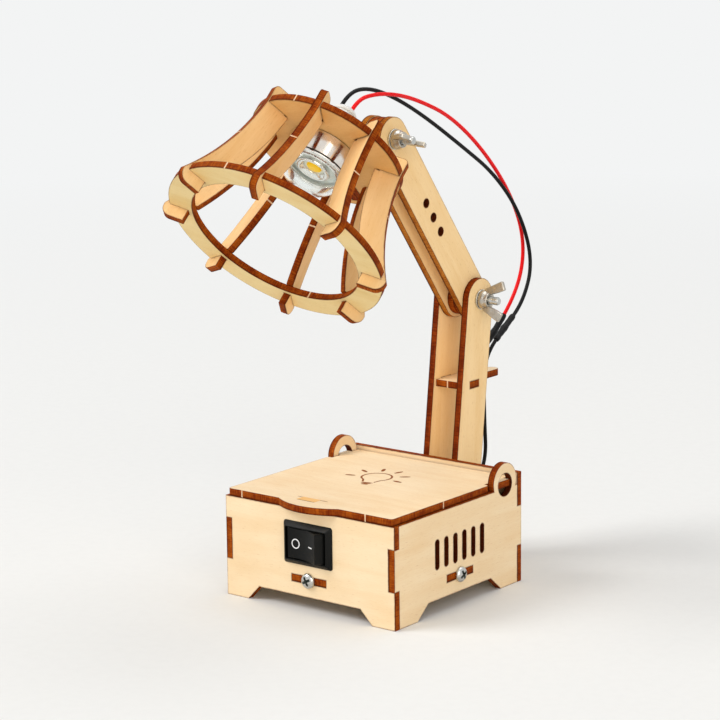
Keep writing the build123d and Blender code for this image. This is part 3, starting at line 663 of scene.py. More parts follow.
def threadTree():
    # a helical ridge for a screw thread, standing on z = 0
    tree, given = startShape("threadRidge", {"Radius": 1.3, "Length": 5.0, "Turns": 10.0, "Ridge": 0.2,
                                             "Metal": "Material"})
    spiral = nodeOn(tree, "GeometryNodeCurveSpiral", {
        "Resolution": 24, "Rotations": given["Turns"], "Start Radius": given["Radius"],
        "End Radius": given["Radius"], "Height": given["Length"]})[0]
    profile = nodeOn(tree, "GeometryNodeCurvePrimitiveCircle", {"Resolution": 4, "Radius": given["Ridge"]})[0]
    last = nodeOn(tree, "GeometryNodeCurveToMesh", {"Curve": spiral, "Profile Curve": profile,
                                                    "Fill Caps": True})[0]
    last = nodeOn(tree, "GeometryNodeRealizeInstances", {0: last})[0]
    last = nodeOn(tree, "GeometryNodeSetMaterial", {"Geometry": last, "Material": given["Metal"]})[0]
    nodeOn(tree, "NodeGroupOutput", {"Geometry": last})
    return tree


repeatRound, threadRidge = repeatRoundTree(), threadTree()


def grown(name, mesh, tree, values):
    holder = linked(name + "Source", mesh)
    modifier = holder.modifiers.new(name, "NODES")
    modifier.node_group = tree
    for item in tree.interface.items_tree:
        if item.item_type == "SOCKET" and item.in_out == "INPUT" and item.name in values:
            modifier[item.identifier] = values[item.name]
    return baked(holder)


# base box

boxDims = {"height": 35.7, "backHeight": 39.9, "cutHeight": 5.1, "foot": 9.65, "cut": 14.6, "sideFoot": 12.6,
           "sideCut": 18.7, "fingerLow": 13.3, "fingerHigh": 27.8, "gap": 0.05, "floorLow": 9.9, "tab": 15.0,
           "screwBore": 1.6, "vents": 6, "ventPitch": 5.2, "ventWidth": 2.3, "ventLength": 10.5, "ventHeight": 20.95,
           "leadHole": 3.2, "leadHeight": 24.0, "postTabs": (16.5, 26.5), "postTab": 5.0, "postX": 6.35,
           "postSlot": 1.3, "switchHalf": (9.5, 6.5), "switchZ": 23.8}
earDims = {"y": 26.8, "z": 37.05, "rise": 0.9, "radius": 6.9, "hole": 4.1}
floorDims = {"screwHalf": 1.6, "nutHalf": 2.8, "nutFront": -31.25, "nutBack": -28.75, "slotEnd": -27.3, "rim": 0.3}


def feetLine(width, foot, cutIn):
    right = [(width - cutIn, boxDims["cutHeight"]), (width - foot, 0), (width, 0)]
    return mirrored(right) + right


def notchedOutline(height):
    d = boxDims
    low, high = d["fingerLow"] - d["gap"], d["fingerHigh"] + d["gap"]
    inner = half - sheet - 2 * d["gap"]
    right = [(half, low), (inner, low), (inner, high), (half, high), (half, height)]
    return feetLine(half, d["foot"], d["cut"]) + right + mirrored(right)


def floorSlot():
    # the slot for a tab of the floor, with a round bore for its screw
    d = boxDims
    z = d["floorLow"] + sheet / 2
    tall, wide, bore = sheet / 2 + d["gap"], d["tab"] / 2 + d["gap"], d["screwBore"]
    reach = math.degrees(math.acos(tall / bore))
    upper = [(wide, z + tall)] + arcPoints(0, z, bore, 90 - reach, 90 + reach) + [(-wide, z + tall)]
    return upper + [(-x, 2 * z - y) for x, y in upper]


def ventLoop(number):
    d = boxDims
    y, z, r = (number - (d["vents"] - 1) / 2) * d["ventPitch"], d["ventHeight"], d["ventWidth"] / 2
    reach = d["ventLength"] / 2 - r
    return arcPoints(y, z + reach, r, 0, 180) + arcPoints(y, z - reach, r, 180, 360)


def buildBase():
    d, e, f = boxDims, earDims, floorDims
    boxWood = (birchFace, burntCut, bridgeWood, charCut)
    switchX, switchY = d["switchHalf"]
    opening = boxLoop(-switchX, d["switchZ"] - switchY, switchX, d["switchZ"] + switchY)
    plyPiece("basePanelFront", "base", "base_front_panel", basePlace @ move(0, -half, 0) @ facingY,
             notchedOutline(d["height"]), [opening, floorSlot()], seed=1, materials=boxWood)
    slots = [boxLoop(x - d["postSlot"], z - d["gap"], x + d["postSlot"], z + d["postTab"] + d["gap"])
             for x in (-d["postX"], d["postX"]) for z in d["postTabs"]]
    plyPiece("basePanelBack", "base", "base_back_panel", basePlace @ move(0, half - sheet, 0) @ facingY,
             notchedOutline(d["backHeight"]), slots + [circleLoop(0, d["leadHeight"], d["leadHole"]), floorSlot()],
             seed=2)
    inner, top = half - sheet, d["height"]
    tilt = math.degrees(math.asin((top - e["z"] - e["rise"]) / e["radius"]))
    ear = arcPoints(e["y"], e["z"] + e["rise"], e["radius"], tilt, 180 - tilt)
    fingers = [(inner, d["fingerLow"]), (half, d["fingerLow"]), (half, d["fingerHigh"]), (inner, d["fingerHigh"])]
    outline = feetLine(inner, d["sideFoot"] - sheet, d["sideCut"] - sheet) + fingers + [(inner, top)] + ear
    outline += [(-inner, top)] + mirrored(fingers)
    holes = [ventLoop(i) for i in range(d["vents"])] + [circleLoop(e["y"], e["z"], e["hole"]), floorSlot()]
    plyPair("base", "panel", "base", basePlace, (-half, half - sheet), 3, outline, holes, materials=boxWood)
    edge, tab, slot, nut = -half + sheet + d["gap"], d["tab"] / 2, f["screwHalf"], f["nutHalf"]
    side = [(edge, edge), (-tab, edge), (-tab, -half), (-slot, -half), (-slot, f["nutFront"]), (-nut, f["nutFront"]),
            (-nut, f["nutBack"]), (-slot, f["nutBack"]), (-slot, f["slotEnd"])]
    plyPiece("baseFloor", "base", "base_floor", basePlace @ move(0, 0, d["floorLow"]),
             quarterTurns(side + mirrored(side[1:])), rim=f["rim"], seed=5)


lidDims = {"front": -36.6, "side": 35.8, "earFront": 18.7, "tailSide": 33.9, "tailEnd": 33.8, "tabSide": 36.2,
           "tabLow": 23.3, "tabHigh": 30.3, "corner": 1.2, "gripHalf": 13.0, "gripDepth": 4.2, "low": 35.8,
           "ticks": [(-29.5, -36.6), (24.5, -36.6), (35.8, -8.0), (-35.8, 2.0), (10, 33.8)]}


def buildLid():
    d = lidDims
    corner, front, ear, tail, tab = d["corner"], d["front"], d["earFront"], d["tailSide"], d["tabSide"]
    side = d["side"] - corner
    right = arcPoints(side, front + corner, corner, -90, 0) + arcPoints(side, ear - corner, corner, 0, 90)
    right += [(tail, ear), (tail, d["tabLow"]), (tab, d["tabLow"]), (tab, d["tabHigh"]), (tail, d["tabHigh"]),
              (tail, d["tailEnd"])]
    grip = bowPoints((-d["gripHalf"], front), (d["gripHalf"], front), d["gripDepth"])
    plyPiece("lidBoard", "lid", "lid", basePlace @ move(0, 0, d["low"]), grip + right + mirrored(right), seed=6,
             ticks=d["ticks"])


# a plain lamp sign burnt into the lid: a bulb with rays, and a bar by the grip
signDims = {"centre": (-2.6, 3.4), "tilt": 14, "bulb": 5.4, "bulbY": 2.0, "open": (-52, 232), "neck": (2.1, -5.4),
            "caps": ((2.2, -6.4), (1.9, -7.5), (1.3, -8.6)), "line": 0.7, "capLine": 0.98, "rayLine": 1.35,
            "rayStart": 8.0, "rayEnd": 11.8, "rays": (-20, 22, 62, 100, 140, 184), "lift": 0.02,
            "bar": (-6.9, 1.0, -32.6, 3.9), "tailLine": 0.42,
            "tails": ((-8.9, -6.6, -31.2), (0.6, 4.3, -31.2), (-6.5, 1.0, -34.4))}


def ribbonMesh(line, width, material, taper=True):
    points = []
    for i, (x, y) in enumerate(line):
        before, after = line[max(i - 1, 0)], line[min(i + 1, len(line) - 1)]
        way = Vector((after[0] - before[0], after[1] - before[1])).normalized()
        share = math.sin(math.pi * (i + 0.6) / (len(line) + 0.2)) ** 0.5 if taper else 1
        side = Vector((-way.y, way.x)) * width / 2 * share
        points += [(x - side.x, y - side.y, 0), (x + side.x, y + side.y, 0)]
    faces = [(2 * i, 2 * i + 2, 2 * i + 3, 2 * i + 1) for i in range(len(line) - 1)]
    return plainMesh("stroke", points, faces, [material])


def buildLidSign():
    d = signDims
    cx, cy = d["centre"]
    c, s = onCircle(1, d["tilt"])

    def turned(line):
        return [(cx + x * c - y * s, cy + x * s + y * c) for x, y in line]

    neckX, neckY = d["neck"]
    glass = [(neckX, neckY)] + arcPoints(0, d["bulbY"], d["bulb"], *d["open"]) + [(-neckX, neckY)]
    strokes = [ribbonMesh(turned(glass), d["line"], engraved, False)]
    strokes += [ribbonMesh(turned(evenLine(-x, y, x, y)), d["capLine"], engraved) for x, y in d["caps"]]
    for angle in d["rays"]:
        ray = evenLine(*onCircle(d["rayStart"], angle, 0, d["bulbY"]), *onCircle(d["rayEnd"], angle, 0, d["bulbY"]))
        strokes.append(ribbonMesh(turned(ray), d["rayLine"], engraved))
    left, right, y, width = d["bar"]
    strokes.append(ribbonMesh([(left, y), (right, y)], width, pullMark, False))
    strokes += [ribbonMesh(evenLine(start, y, end, y), d["tailLine"], engraved) for start, end, y in d["tails"]]
    place = basePlace @ move(0, 0, lidDims["low"] + sheet + d["lift"])
    settle("lidSign", joined("lidSign", strokes), place, "lid")


buildBase()
buildLid()
buildLidSign()
print("base box and lid built")


# post and arm

postDims = {"lean": 6.9, "half": 7.6, "footLow": 14.0, "footHigh": 33.0, "bore": 1.6, "inner": 5.1, "gap": 0.05,
            "slotY": (46.55, 52.05), "slotZ": (63.95, 66.55), "barFront": 43.3, "barBack": 55.5,
            "barTab": (46.6, 52.0), "barLow": 64.0, "barRim": 0.3, "tongue": 2.5, "tongueTip": 70.5}
armDims = {"half": 7.6, "inner": 2.55, "outer": 5.05, "holes": (33.8, 40.7, 47.6), "bore": 1.6, "spacer": 6.2}


def buildPost():
    d = postDims
    y, z, slope = lampPlan["elbowY"], lampPlan["elbowZ"], math.tan(math.radians(d["lean"]))
    low, high, tab = d["footLow"], d["footHigh"], boxDims["postTab"]
    over = arcPoints(y, z, d["half"], -d["lean"], 180 - d["lean"])
    (startY, startZ), (endY, endZ) = over[0], over[-1]
    outline = [(half, low), (startY - (startZ - low) * slope, low)] + over
    outline += [(endY - (endZ - high) * slope, high), (half, high)]
    for foot in reversed(boxDims["postTabs"]):
        outline += [(half, foot + tab), (half - sheet, foot + tab), (half - sheet, foot), (half, foot)]
    (frontY, backY), (lowZ, highZ) = d["slotY"], d["slotZ"]
    holes = [circleLoop(y, z, d["bore"]), boxLoop(frontY, lowZ, backY, highZ)]
    plyPair("post", "upright", "base", basePlace, (-d["inner"] - sheet, d["inner"]), 7, outline, holes,
            grain=90 - d["lean"], materials=(armFaceWood, sootCut, bridgeWood, burntCut))
    side, outer = d["inner"] - d["gap"], d["inner"] + sheet
    tabFront, tabBack = d["barTab"]
    right = [(side, d["barFront"]), (side, tabFront), (outer, tabFront), (outer, tabBack), (side, tabBack),
             (side, d["barBack"]), (d["tongue"], d["barBack"])]
    outline = right + arcPoints(0, d["tongueTip"], d["tongue"], 0, 180) + mirrored(right)
    plyPiece("postCrossbar", "base", "post_crossbar", basePlace @ move(0, 0, d["barLow"]), outline, grain=90, seed=9,
             rim=d["barRim"], ticks=[(0.0, d["barFront"])])


def buildArm():
    d = armDims
    length = lampPlan["armLength"]
    outline = arcPoints(0, 0, d["half"], 180, 360) + arcPoints(0, length, d["half"], 0, 180)
    holes = [circleLoop(0, v, d["bore"]) for v in (0, length, *d["holes"])]
    plyPair("arm", "plate", "arm", armPlace, (-d["outer"], d["inner"]), 10, outline, holes, grain=90,
            materials=(armFaceWood, goldenCut, bridgeWood, charCut))
    plyPair("elbow", "spacer", "arm", armPlace, (-d["inner"], 0), 12, circleLoop(0, 0, d["spacer"]), holes[:1],
            thick=d["inner"])


buildPost()
buildArm()
print("post and arm built")


# shade

shadeDims = {"ribs": 8, "ringOuter": 39.0, "ringInner": 30.4, "slotIn": 31.95, "slotHalf": 1.3, "plateLow": 38.0,
             "plate": 27.4, "plateSlotIn": 19.35, "plateSlotHalf": 1.5, "neckHole": 4.3, "lugSlot": (2.55, 14.9, 25.0),
             "footOuter": 40.8, "footInner": 32.0, "footDepth": 4.2, "footRound": 3.4, "top": 27.7, "band": 9.4,
             "bow": 2.45, "crown": 45.2, "crownInner": 20.0, "crownRound": 1.6, "crownInnerRound": 3.4, "lug": 7.3,
             "lugTab": 5.0, "bore": 1.6, "ringTicks": (20, 130, 274), "mouthTicks": (97, 225), "ringRim": 0.4,
             "plateTicks": (45, 135, 275), "plateRim": 0.7, "ribTicks": [(30.8, 22.9), (21.5, 22.0)], "grainStep": 47.3}


def slottedDisc(radius, slotInner, wide):
    # a disc with open radial slots for the ribs
    step = 360 / shadeDims["ribs"]
    mouth = math.degrees(math.asin(wide / radius))
    outline = []
    for number in range(shadeDims["ribs"]):
        angle = (number + 0.5) * step
        c, s = onCircle(1, angle)
        outline += arcPoints(0, 0, radius, angle - step + mouth, angle - mouth)
        outline += [(slotInner * c + side * s, slotInner * s - side * c) for side in (wide, -wide)]
    return outline


def ribOutline():
    d = shadeDims
    foot, deep, top, crown = d["footOuter"], -d["footDepth"], d["top"], d["crown"]
    footRound, topRound, innerRound = d["footRound"], d["crownRound"], d["crownInnerRound"]
    outer = bowPoints((foot, 0), (top, d["plateLow"]), -d["bow"])
    inner = [(r - d["band"], z) for r, z in outer]
    above = [point for point in inner if point[1] > sheet]
    (lowR, lowZ), (nextR, nextZ) = inner[len(inner) - len(above) - 1], above[0]
    meet = (lowR + (nextR - lowR) * (sheet - lowZ) / (nextZ - lowZ), sheet)
    outline = [(d["footInner"], deep)] + arcPoints(foot - footRound, deep + footRound, footRound, -90, 0) + outer
    outline += arcPoints(top - topRound, crown - topRound, topRound, 0, 90)
    outline += arcPoints(d["crownInner"] + innerRound, crown - innerRound, innerRound, 90, 180)
    return outline + [(d["crownInner"], d["plateLow"])] + above[::-1] + [meet, (d["footInner"], sheet)]


def roundMarks(radius, angles):
    return [onCircle(radius, angle) for angle in angles]


def buildShade():
    d = shadeDims
    low = d["plateLow"]
    plyPiece("shadeRing", "head", "shade_bottom_ring", headPlace,
             slottedDisc(d["ringOuter"], d["slotIn"], d["slotHalf"]), [circleLoop(0, 0, d["ringInner"])],
             seed=14, grain=20, ticks=roundMarks(d["ringOuter"], d["ringTicks"]),
             holeTicks=roundMarks(d["ringInner"], d["mouthTicks"]), rim=d["ringRim"],
             materials=(ringWood, burntCut, bridgeWood, burntCut))
    wide, front, back = d["lugSlot"]
    plate = plyPiece("shadePlate", "head", "shade_top_plate", headPlace @ move(0, 0, low),
                     slottedDisc(d["plate"], d["plateSlotIn"], d["plateSlotHalf"]),
                     [circleLoop(0, -lampPlan["lampForward"], d["neckHole"]), boxLoop(-wide, front, wide, back)],
                     seed=15, grain=-15, ticks=roundMarks(d["plate"], d["plateTicks"]), rim=d["plateRim"],
                     materials=(plateWoodPaintedShade, burntCut, bridgeWood, charCut, birchFace))
    up = headPlace.to_3x3() @ Vector((0, 0, 1))
    for face in plate.data.polygons:
        if face.material_index == 0 and face.normal.dot(up) > 0:
            face.material_index = 4      # the top takes plain birch; the underside keeps the darker, warmer birch, painted shade under the plate
    rib = sheetMesh("shadeRib", ribOutline(), seed=16, grain=98, ticks=d["ribTicks"])
    placed(rib, move(0, -sheet / 2, 0) @ facingY)
    # the ribs' faces take the deeper birch, painted shade inside the lampshade
    ribs = grown("shadeRibs", rib, repeatRound, {
        "Count": d["ribs"], "Start Angle": math.pi / d["ribs"], "Grain Step": d["grainStep"],
        "Face": ribWoodPaintedShade, "Cut": burntCut, "Bridge": bridgeWood})
    settle("shadeRibs", ribs, headPlace, "head", ["shade_rib_" + str(i + 1) for i in range(d["ribs"])])
    y, z, r, tab, base = lampPlan["pivotBack"], lampPlan["pivotHeight"], d["lug"], d["lugTab"], low + sheet
    outline = [(y - tab, low), (y + tab, low), (y + tab, base), (y + r, base)]
    outline += arcPoints(y, z, r, 0, 180) + [(y - r, base), (y - tab, base)]
    plyPair("head", "lug", "head", headPlace, (-sheet, 0), 17, outline, [circleLoop(y, z, d["bore"])], grain=90)


buildShade()
print("shade built")


# screws, bolts and wing nuts

screwDims = {"head": 2.75, "tall": 1.8, "length": 8.0, "core": 1.41, "crest": 1.5, "pitch": 0.5, "turn": 27}
boltDims = {"head": 2.9, "tall": 2.0, "core": 1.41, "crest": 1.5, "pitch": 0.5, "turn": 35}
# heads and recesses are in shares of the head's radius and height
panDims = {"dome": ((1, 0), (1, 0.32), (0.93, 0.58), (0.78, 0.8), (0.52, 0.95), (0, 1)), "tip": 0.8, "tipLong": 0.4,
           "ease": 0.25, "bare": 1.2, "start": 0.5, "sunk": 0.02}
recessDims = {"reach": 0.8, "wide": 0.19, "floor": 0.25, "floorReach": 0.42, "floorWide": 0.6, "over": 0.5,
              "deep": (0.2, 0.78), "spread": 0.62}
wingDims = {"hub": 3.4, "hubTop": 2.9, "hubTall": 3.4, "hubStep": (1.5, 2.3), "root": (2.4, 1.3), "end": (5.85, 8.6),
            "width": 3.4, "thick": 1.6, "bore": 1.56, "ease": 0.45, "bladeEase": 0.28, "bladeRim": 0.15, "tip": 3.0,
            "hubDraft": 0.2, "mouth": 0.5, "shares": (0.6, 0.85, 0.96)}
# what clamps each joint: x of the bolt's head, the washer and the nut, and the turn of the nut
clampDims = {"elbow": {"body": "base", "place": elbowPlace, "headX": -7.6, "length": 23.4, "washerX": 7.6, "nutX": 8.45,
                       "turn": -12},
             "head": {"body": "arm", "place": pivotPlace, "headX": -5.05, "length": 18.8, "washerX": 5.05, "nutX": 5.9,
                      "turn": 70}}
washerDims = {"bore": 1.6, "radius": 3.6, "thick": 0.8, "ease": 0.15}


def crossCutter(radius, tall):
    # the tapered cross of a driver recess
    d = recessDims

    def plus(reach, wide, z):
        return [(x, y, z) for x, y in quarterTurns([(reach, -wide), (reach, wide), (wide, wide)])]

    reach, wide = radius * d["reach"], radius * d["wide"]
    return loftMesh("cross", [plus(reach * d["floorReach"], wide * d["floorWide"], tall * d["floor"]),
                              plus(reach, wide, tall + d["over"])], [recessPaintedShade])


def panScrew(name, dims):
    # stands on its seat at z = 0, head up
    p, r, tall, core, length = panDims, dims["head"], dims["tall"], dims["core"], dims["length"]
    profile = [(0, -length), (core * p["tip"], -length), (core, -length + p["tipLong"]), (core, 0)]
    profile += [(r * across, tall * up) for across, up in p["dome"]]
    body = carved(latheMesh(name, softProfile(profile, p["ease"]), [zinc], 48), crossCutter(r, tall))
    body.materials.append(recessPaintedShade)
    deepLow, deepHigh = (share * tall for share in recessDims["deep"])
    for face in body.polygons:
        deep = deepLow < face.center.z < deepHigh and face.center.xy.length < r * recessDims["spread"]
        face.material_index = int(deep)      # the walls of the cross are painted dark, painted shade in the recess
    thread = length - p["bare"]
    ridge = grown(name + "Thread", bpy.data.meshes.new("empty"), threadRidge,
                  {"Radius": core + p["sunk"], "Length": thread, "Turns": thread / dims["pitch"],
                   "Ridge": dims["crest"] - core - p["sunk"], "Metal": zinc})
    ridge.transform(move(0, 0, p["start"] - length))
    return joined(name, [body, ridge])


def buildScrews():
    screw = panScrew("floorScrew", screwDims)
    parts = screw.attributes.new("part", "INT", "FACE")
    for face in screw.polygons:
        parts.data[face.index].value = face.material_index
    screw.transform(move(0, -half, boxDims["floorLow"] + sheet / 2) @ spin("X", 90) @ spin("Z", screwDims["turn"]))
    ring = grown("floorScrews", screw, repeatRound, {"Count": 4, "Start Angle": 0.0, "Face": zinc, "Cut": recessPaintedShade,
                                                     "Bridge": zinc})
    settle("floorScrews", ring, basePlace, "base", ["base_screws"], 40)
    for owner, c in clampDims.items():
        bolt = panScrew(owner + "Bolt", {**boltDims, "length": c["length"]})
        seat = c["place"] @ move(c["headX"], 0, 0) @ spin("Y", -90) @ spin("Z", boltDims["turn"])
        settle(owner + "Bolt", bolt, seat, c["body"], [owner + "_bolt"], 40)


def wingNutMesh(name):
    d = wingDims
    bore, tall, (stepLow, stepHigh) = d["bore"], d["hubTall"], d["hubStep"]
    hub = [(bore, 0), (d["hub"], 0), (d["hub"], stepLow), (d["hubTop"], stepHigh), (d["hubTop"] - d["hubDraft"], tall),
           (bore + d["mouth"], tall), (bore, tall - d["mouth"])]
    hubMesh = latheMesh("hub", softProfile(hub, d["ease"]), [castZinc], 48, closed=True)
    root, end = Vector(d["root"]), Vector(d["end"])
    way = (end - root).normalized()
    side = Vector((way.y, -way.x)) * d["width"] / 2
    near = end - way * d["tip"]
    inside, outside, late = (side * share for share in d["shares"])      # the strap widens a little to its end
    corners = [root - inside, root + outside, near + late, end + side, end - side, near - late]
    outline = softProfile([tuple(corner) for corner in corners + corners[:1]], d["ease"], 4)[:-1]
    blade = sheetMesh("wing", outline, thick=d["thick"], bevel=d["bladeEase"], rim=d["bladeRim"],
                      materials=(castZinc,) * 4)
    placed(blade, move(0, -d["thick"] / 2, 0) @ facingY)
    wings = grown(name + "Wings", blade, repeatRound, {"Count": 2, "Start Angle": 0.0, "Face": castZinc,
                                                       "Cut": castZinc, "Bridge": castZinc})
    return joined(name, [hubMesh, wings])


def buildWingNuts():
    for owner, c in clampDims.items():
        seat = c["place"] @ move(c["nutX"], 0, 0) @ spin("X", c["turn"]) @ alongX
        nut = wingNutMesh(owner + "WingNut")
        settle(owner + "WingNut", nut, seat, owner + "_nut", [owner + "_wing_nut"], 40)
    bore, r, thick = washerDims["bore"], washerDims["radius"], washerDims["thick"]
    ring = [(bore, thick / 2), (bore, 0), (r, 0), (r, thick), (bore, thick), (bore, thick / 2)]
    ring = softProfile(ring, washerDims["ease"])[:-1]
    for owner, c in clampDims.items():
        turnedPiece(owner + "Washer", ring, c["place"] @ move(c["washerX"], 0, 0) @ alongX, c["body"], "zinc",
                    owner + "_washer", [zinc], closed=True)


buildScrews()
buildWingNuts()
print("screws, bolts and wing nuts built")


# rocker switch, in its own frame: x along the rocker, z out of the front panel

switchDims = {"z": 23.8, "halfX": 10.5, "halfY": 7.5, "proud": 1.8, "slope": 1.5, "corner": 0.9, "wellX": 8.7,
              "wellY": 5.6, "wellDeep": 5.2, "bodyX": 9.4, "bodyY": 6.4, "depth": 13.0, "rocker": 8.5,
              "rockerTall": 10.8, "pivot": 2.0, "pressed": 1.7, "back": 3.5, "tilt": 10.0, "ease": 0.28, "rim": 0.15,
              "edge": 0.08, "bodyCorner": 0.4, "wellCorner": 0.3}
markDims = {"offX": -3.7, "off": (1.75, 1.35), "onX": 3.8, "on": (1.15, 0.2, 0.18), "lift": 0.03,
            "ink": {"thick": 0.05, "bevel": 0.01, "rim": 0.05, "materials": (markWhite,) * 4}}


def buildSwitch():
    d, m = switchDims, markDims
    place = basePlace @ move(0, -half, d["z"]) @ spin("X", 90)
    x, y, corner, top, slope = d["halfX"], d["halfY"], d["corner"], d["proud"], d["slope"]
    bodyX, bodyY, wellX, wellY = d["bodyX"], d["bodyY"], d["wellX"], d["wellY"]
    body, well, edge, soft, small = d["bodyCorner"], d["wellCorner"], d["edge"], d["edge"] * 0.75, corner * 0.6
    sections = ((bodyX, bodyY, body, -d["depth"]), (bodyX, bodyY, body, 0.0), (x, y, corner, 0.0),
                (x, y, corner, top - slope - edge), (x - edge, y - edge, corner, top - slope + edge / 2),
                (x - slope, y - slope, small, top - soft), (x - slope - edge, y - slope - edge, small, top),
                (wellX + soft, wellY + soft, well, top), (wellX, wellY, well, top - edge),
                (wellX, wellY, well, -d["wellDeep"]))
    rings = [[(px, py, z) for px, py in roundedBox(*box)] for *box, z in sections]
    settle("switchHousing", loftMesh("switchHousing", rings, [switchBlack]), place, "base",
           ["switch_housing"], 25)
    r, tall = d["rocker"], d["rockerTall"]
    tilt = math.radians(d["tilt"])
    valley, rising = (d["pivot"] + d["pressed"]) / math.cos(tilt), math.tan(tilt)
    # where the straight line up from the valley meets the rocker's round end
    a, b, c = 1 + rising ** 2, 2 * valley * rising, valley ** 2 - r ** 2
    end = (-b + math.sqrt(b * b - 4 * a * c)) / (2 * a)
    rise = end * rising
    high = math.degrees(math.atan2(valley + rise, end))
    low = math.degrees(math.asin(d["back"] / r))
    outline = arcPoints(0, 0, r, -low, high)[:-1] + bowPoints((end, valley + rise), (-end, valley + rise), -rise)
    outline += arcPoints(0, 0, r, 180 - high, 180 + low)[1:]
    rocker = sheetMesh("switchRocker", outline, thick=tall, bevel=d["ease"], rim=d["rim"],
                       materials=(switchBlack,) * 4)
    seat = place @ move(0, 0, -d["pivot"]) @ spin("Y", -d["tilt"])
    settle("switchRocker", rocker, seat @ move(0, -tall / 2, 0) @ facingY, "rocker",
           ["switch_rocker"], 25)
    outer, inner = m["off"]
    circle = sheetMesh("offMark", circleLoop(0, 0, outer), [circleLoop(0, 0, inner)], **m["ink"])
    bar = sheetMesh("onMark", roundedBox(*m["on"]), **m["ink"])
    marks = []
    for mesh, x in ((circle, m["offX"]), (bar, m["onX"])):
        z = valley + rise * (x / end) ** 2
        lean = math.degrees(math.atan(2 * rise * x / end ** 2))
        marks.append(placed(mesh, seat @ move(x, 0, z + m["lift"]) @ spin("Y", -lean)))
    settle("switchMarks", joined("switchMarks", marks), None, "rocker")


buildSwitch()
print("switch built")


# lamp in the shade, in the head's frame with z up the shade's axis

sinkDims = {"radius": 12.8, "lowRadius": 11.8, "low": 30.3, "high": 38.0, "recess": 11.0, "core": 32.0, "ease": 0.15}
trimDims = {"radius": 12.7, "inner": 9.0, "low": 29.2, "high": 30.3, "groove": 0.25, "ease": 0.12, "lip": (0.35, 0.3),
            "steps": (0.45, 0.5, 0.75, 0.8, 0.85), "seam": 0.6}
lensDims = {"radius": 10.8, "rim": 29.2, "shoulder": 28.0, "low": 21.4, "wall": 1.2}
ledDims = {"board": 10.8, "boardLow": 31.0, "boardHigh": 32.0, "chip": 2.7, "chipLow": 30.2, "ring": 6.2,
           "ringInner": 3.6, "ringLow": 29.4, "chipDome": ((0, 0), (0.5, 0.04), (0.82, 0.14), (0.97, 0.34))}
neckDims = {"radius": 4.2, "low": 38.0, "flange": 5.8, "flangeLow": 40.5, "flangeHigh": 42.5, "top": 55.4,
            "grooves": (6.6, 2.6), "grooveDeep": 0.7, "grooveTall": 0.75, "ease": 0.1, "mouth": 3.1, "lead": 1.0}


def lampPiece(name, profile, slot, node, materials, **look):
    turnedPiece(name, profile, lampPlace, "head", slot, node, materials, **look)


def buildSink():
    d = sinkDims
    r, low, ease, foot, high = d["radius"], d["lowRadius"], d["ease"], d["low"], d["high"]
    cup = [(0, d["core"]), (d["recess"], d["core"]), (d["recess"], foot), (low - ease, foot), (low, foot + ease),
           (r, high - 2 * ease), (r - ease, high - ease), (r - 2 * ease, high - ease), (r - 2 * ease, high), (0, high)]
    lampPiece("lampSink", cup, "white_aluminium", "lamp_heat_sink", [sinkPolish, trimDarkAndPaintedShadow], segments=128, degrees=30,
              second=lambda centre: centre.z > high - 2 * ease)      # painted shadow: the cup's top band takes the dark trim metal where the plate shades it


def buildTrim():
    # a turned ring with a dark groove round it
    d = trimDims
    r, low, high, inner, ease, deep = d["radius"], d["low"], d["high"], d["inner"], d["ease"], d["groove"]
    (lipIn, lipUp), (below, start, end, rim, above) = d["lip"], (low + step for step in d["steps"])
    ring = softProfile([(inner, start), (inner, low), (r - lipIn, low), (r, low + lipUp), (r, below)], ease)
    ring += [(r - deep, start), (r - deep, end), (r, rim)]
    ring += softProfile([(r, above), (r, high), (inner, high), (inner, low + d["seam"])], ease)
    lampPiece("lampTrim", ring, "dark_trim", "lamp_trim_ring", [silver, trimDarkAndPaintedShadow], segments=128, degrees=30,
              closed=True, second=lambda centre: centre.xy.length > r - deep - 0.05 and below - 0.01 < centre.z)


def domeLine(radius, low):
    # half of the dome's section: level at the tip, then the short straight rim
    tall = lensDims["shoulder"] - low
    ball = (radius * radius + tall * tall) / (2 * tall)
    end = math.degrees(math.atan2(tall - ball, radius))
    return arcPoints(0, low + ball, ball, -90, end)[1:] + [(radius, lensDims["rim"])]


def buildLens():
    d = lensDims
    outer, inner = domeLine(d["radius"], d["low"]), domeLine(d["radius"] - d["wall"], d["low"] + d["wall"])
    shell = [(0, d["low"])] + outer + inner[::-1] + [(0, d["low"] + d["wall"])]
    lampPiece("lampLens", shell, "clear_lens", "lamp_lens", [clearLens], segments=96, degrees=50)


def buildLed():
    d = ledDims
    low, high, edge = d["boardLow"], d["boardHigh"], d["board"]
    board = softProfile([(0, low), (edge, low), (edge, high), (0, high)], 0.15)
    lampPiece("ledBoard", board, "board_white", "led_board", [boardWhite], degrees=30)
    r = d["chip"]
    chip = [(r * share, d["chipLow"] + up) for share, up in d["chipDome"]] + [(r, low), (0, low)]
    lampPiece("ledChip", chip, "led_yellow", "led_chip", [ledYellowPaintedGlow], segments=48)
    inner, outer, face = d["ringInner"], d["ring"], d["ringLow"]
    ring = softProfile([(inner, low), (inner, low - 0.5), (inner + 1.0, face), (outer - 0.4, face),
                        (outer, face + 0.6), (outer, low)], 0.4)
    lampPiece("ledHolder", ring, "silver_ring", "led_holder", [silver], closed=True)


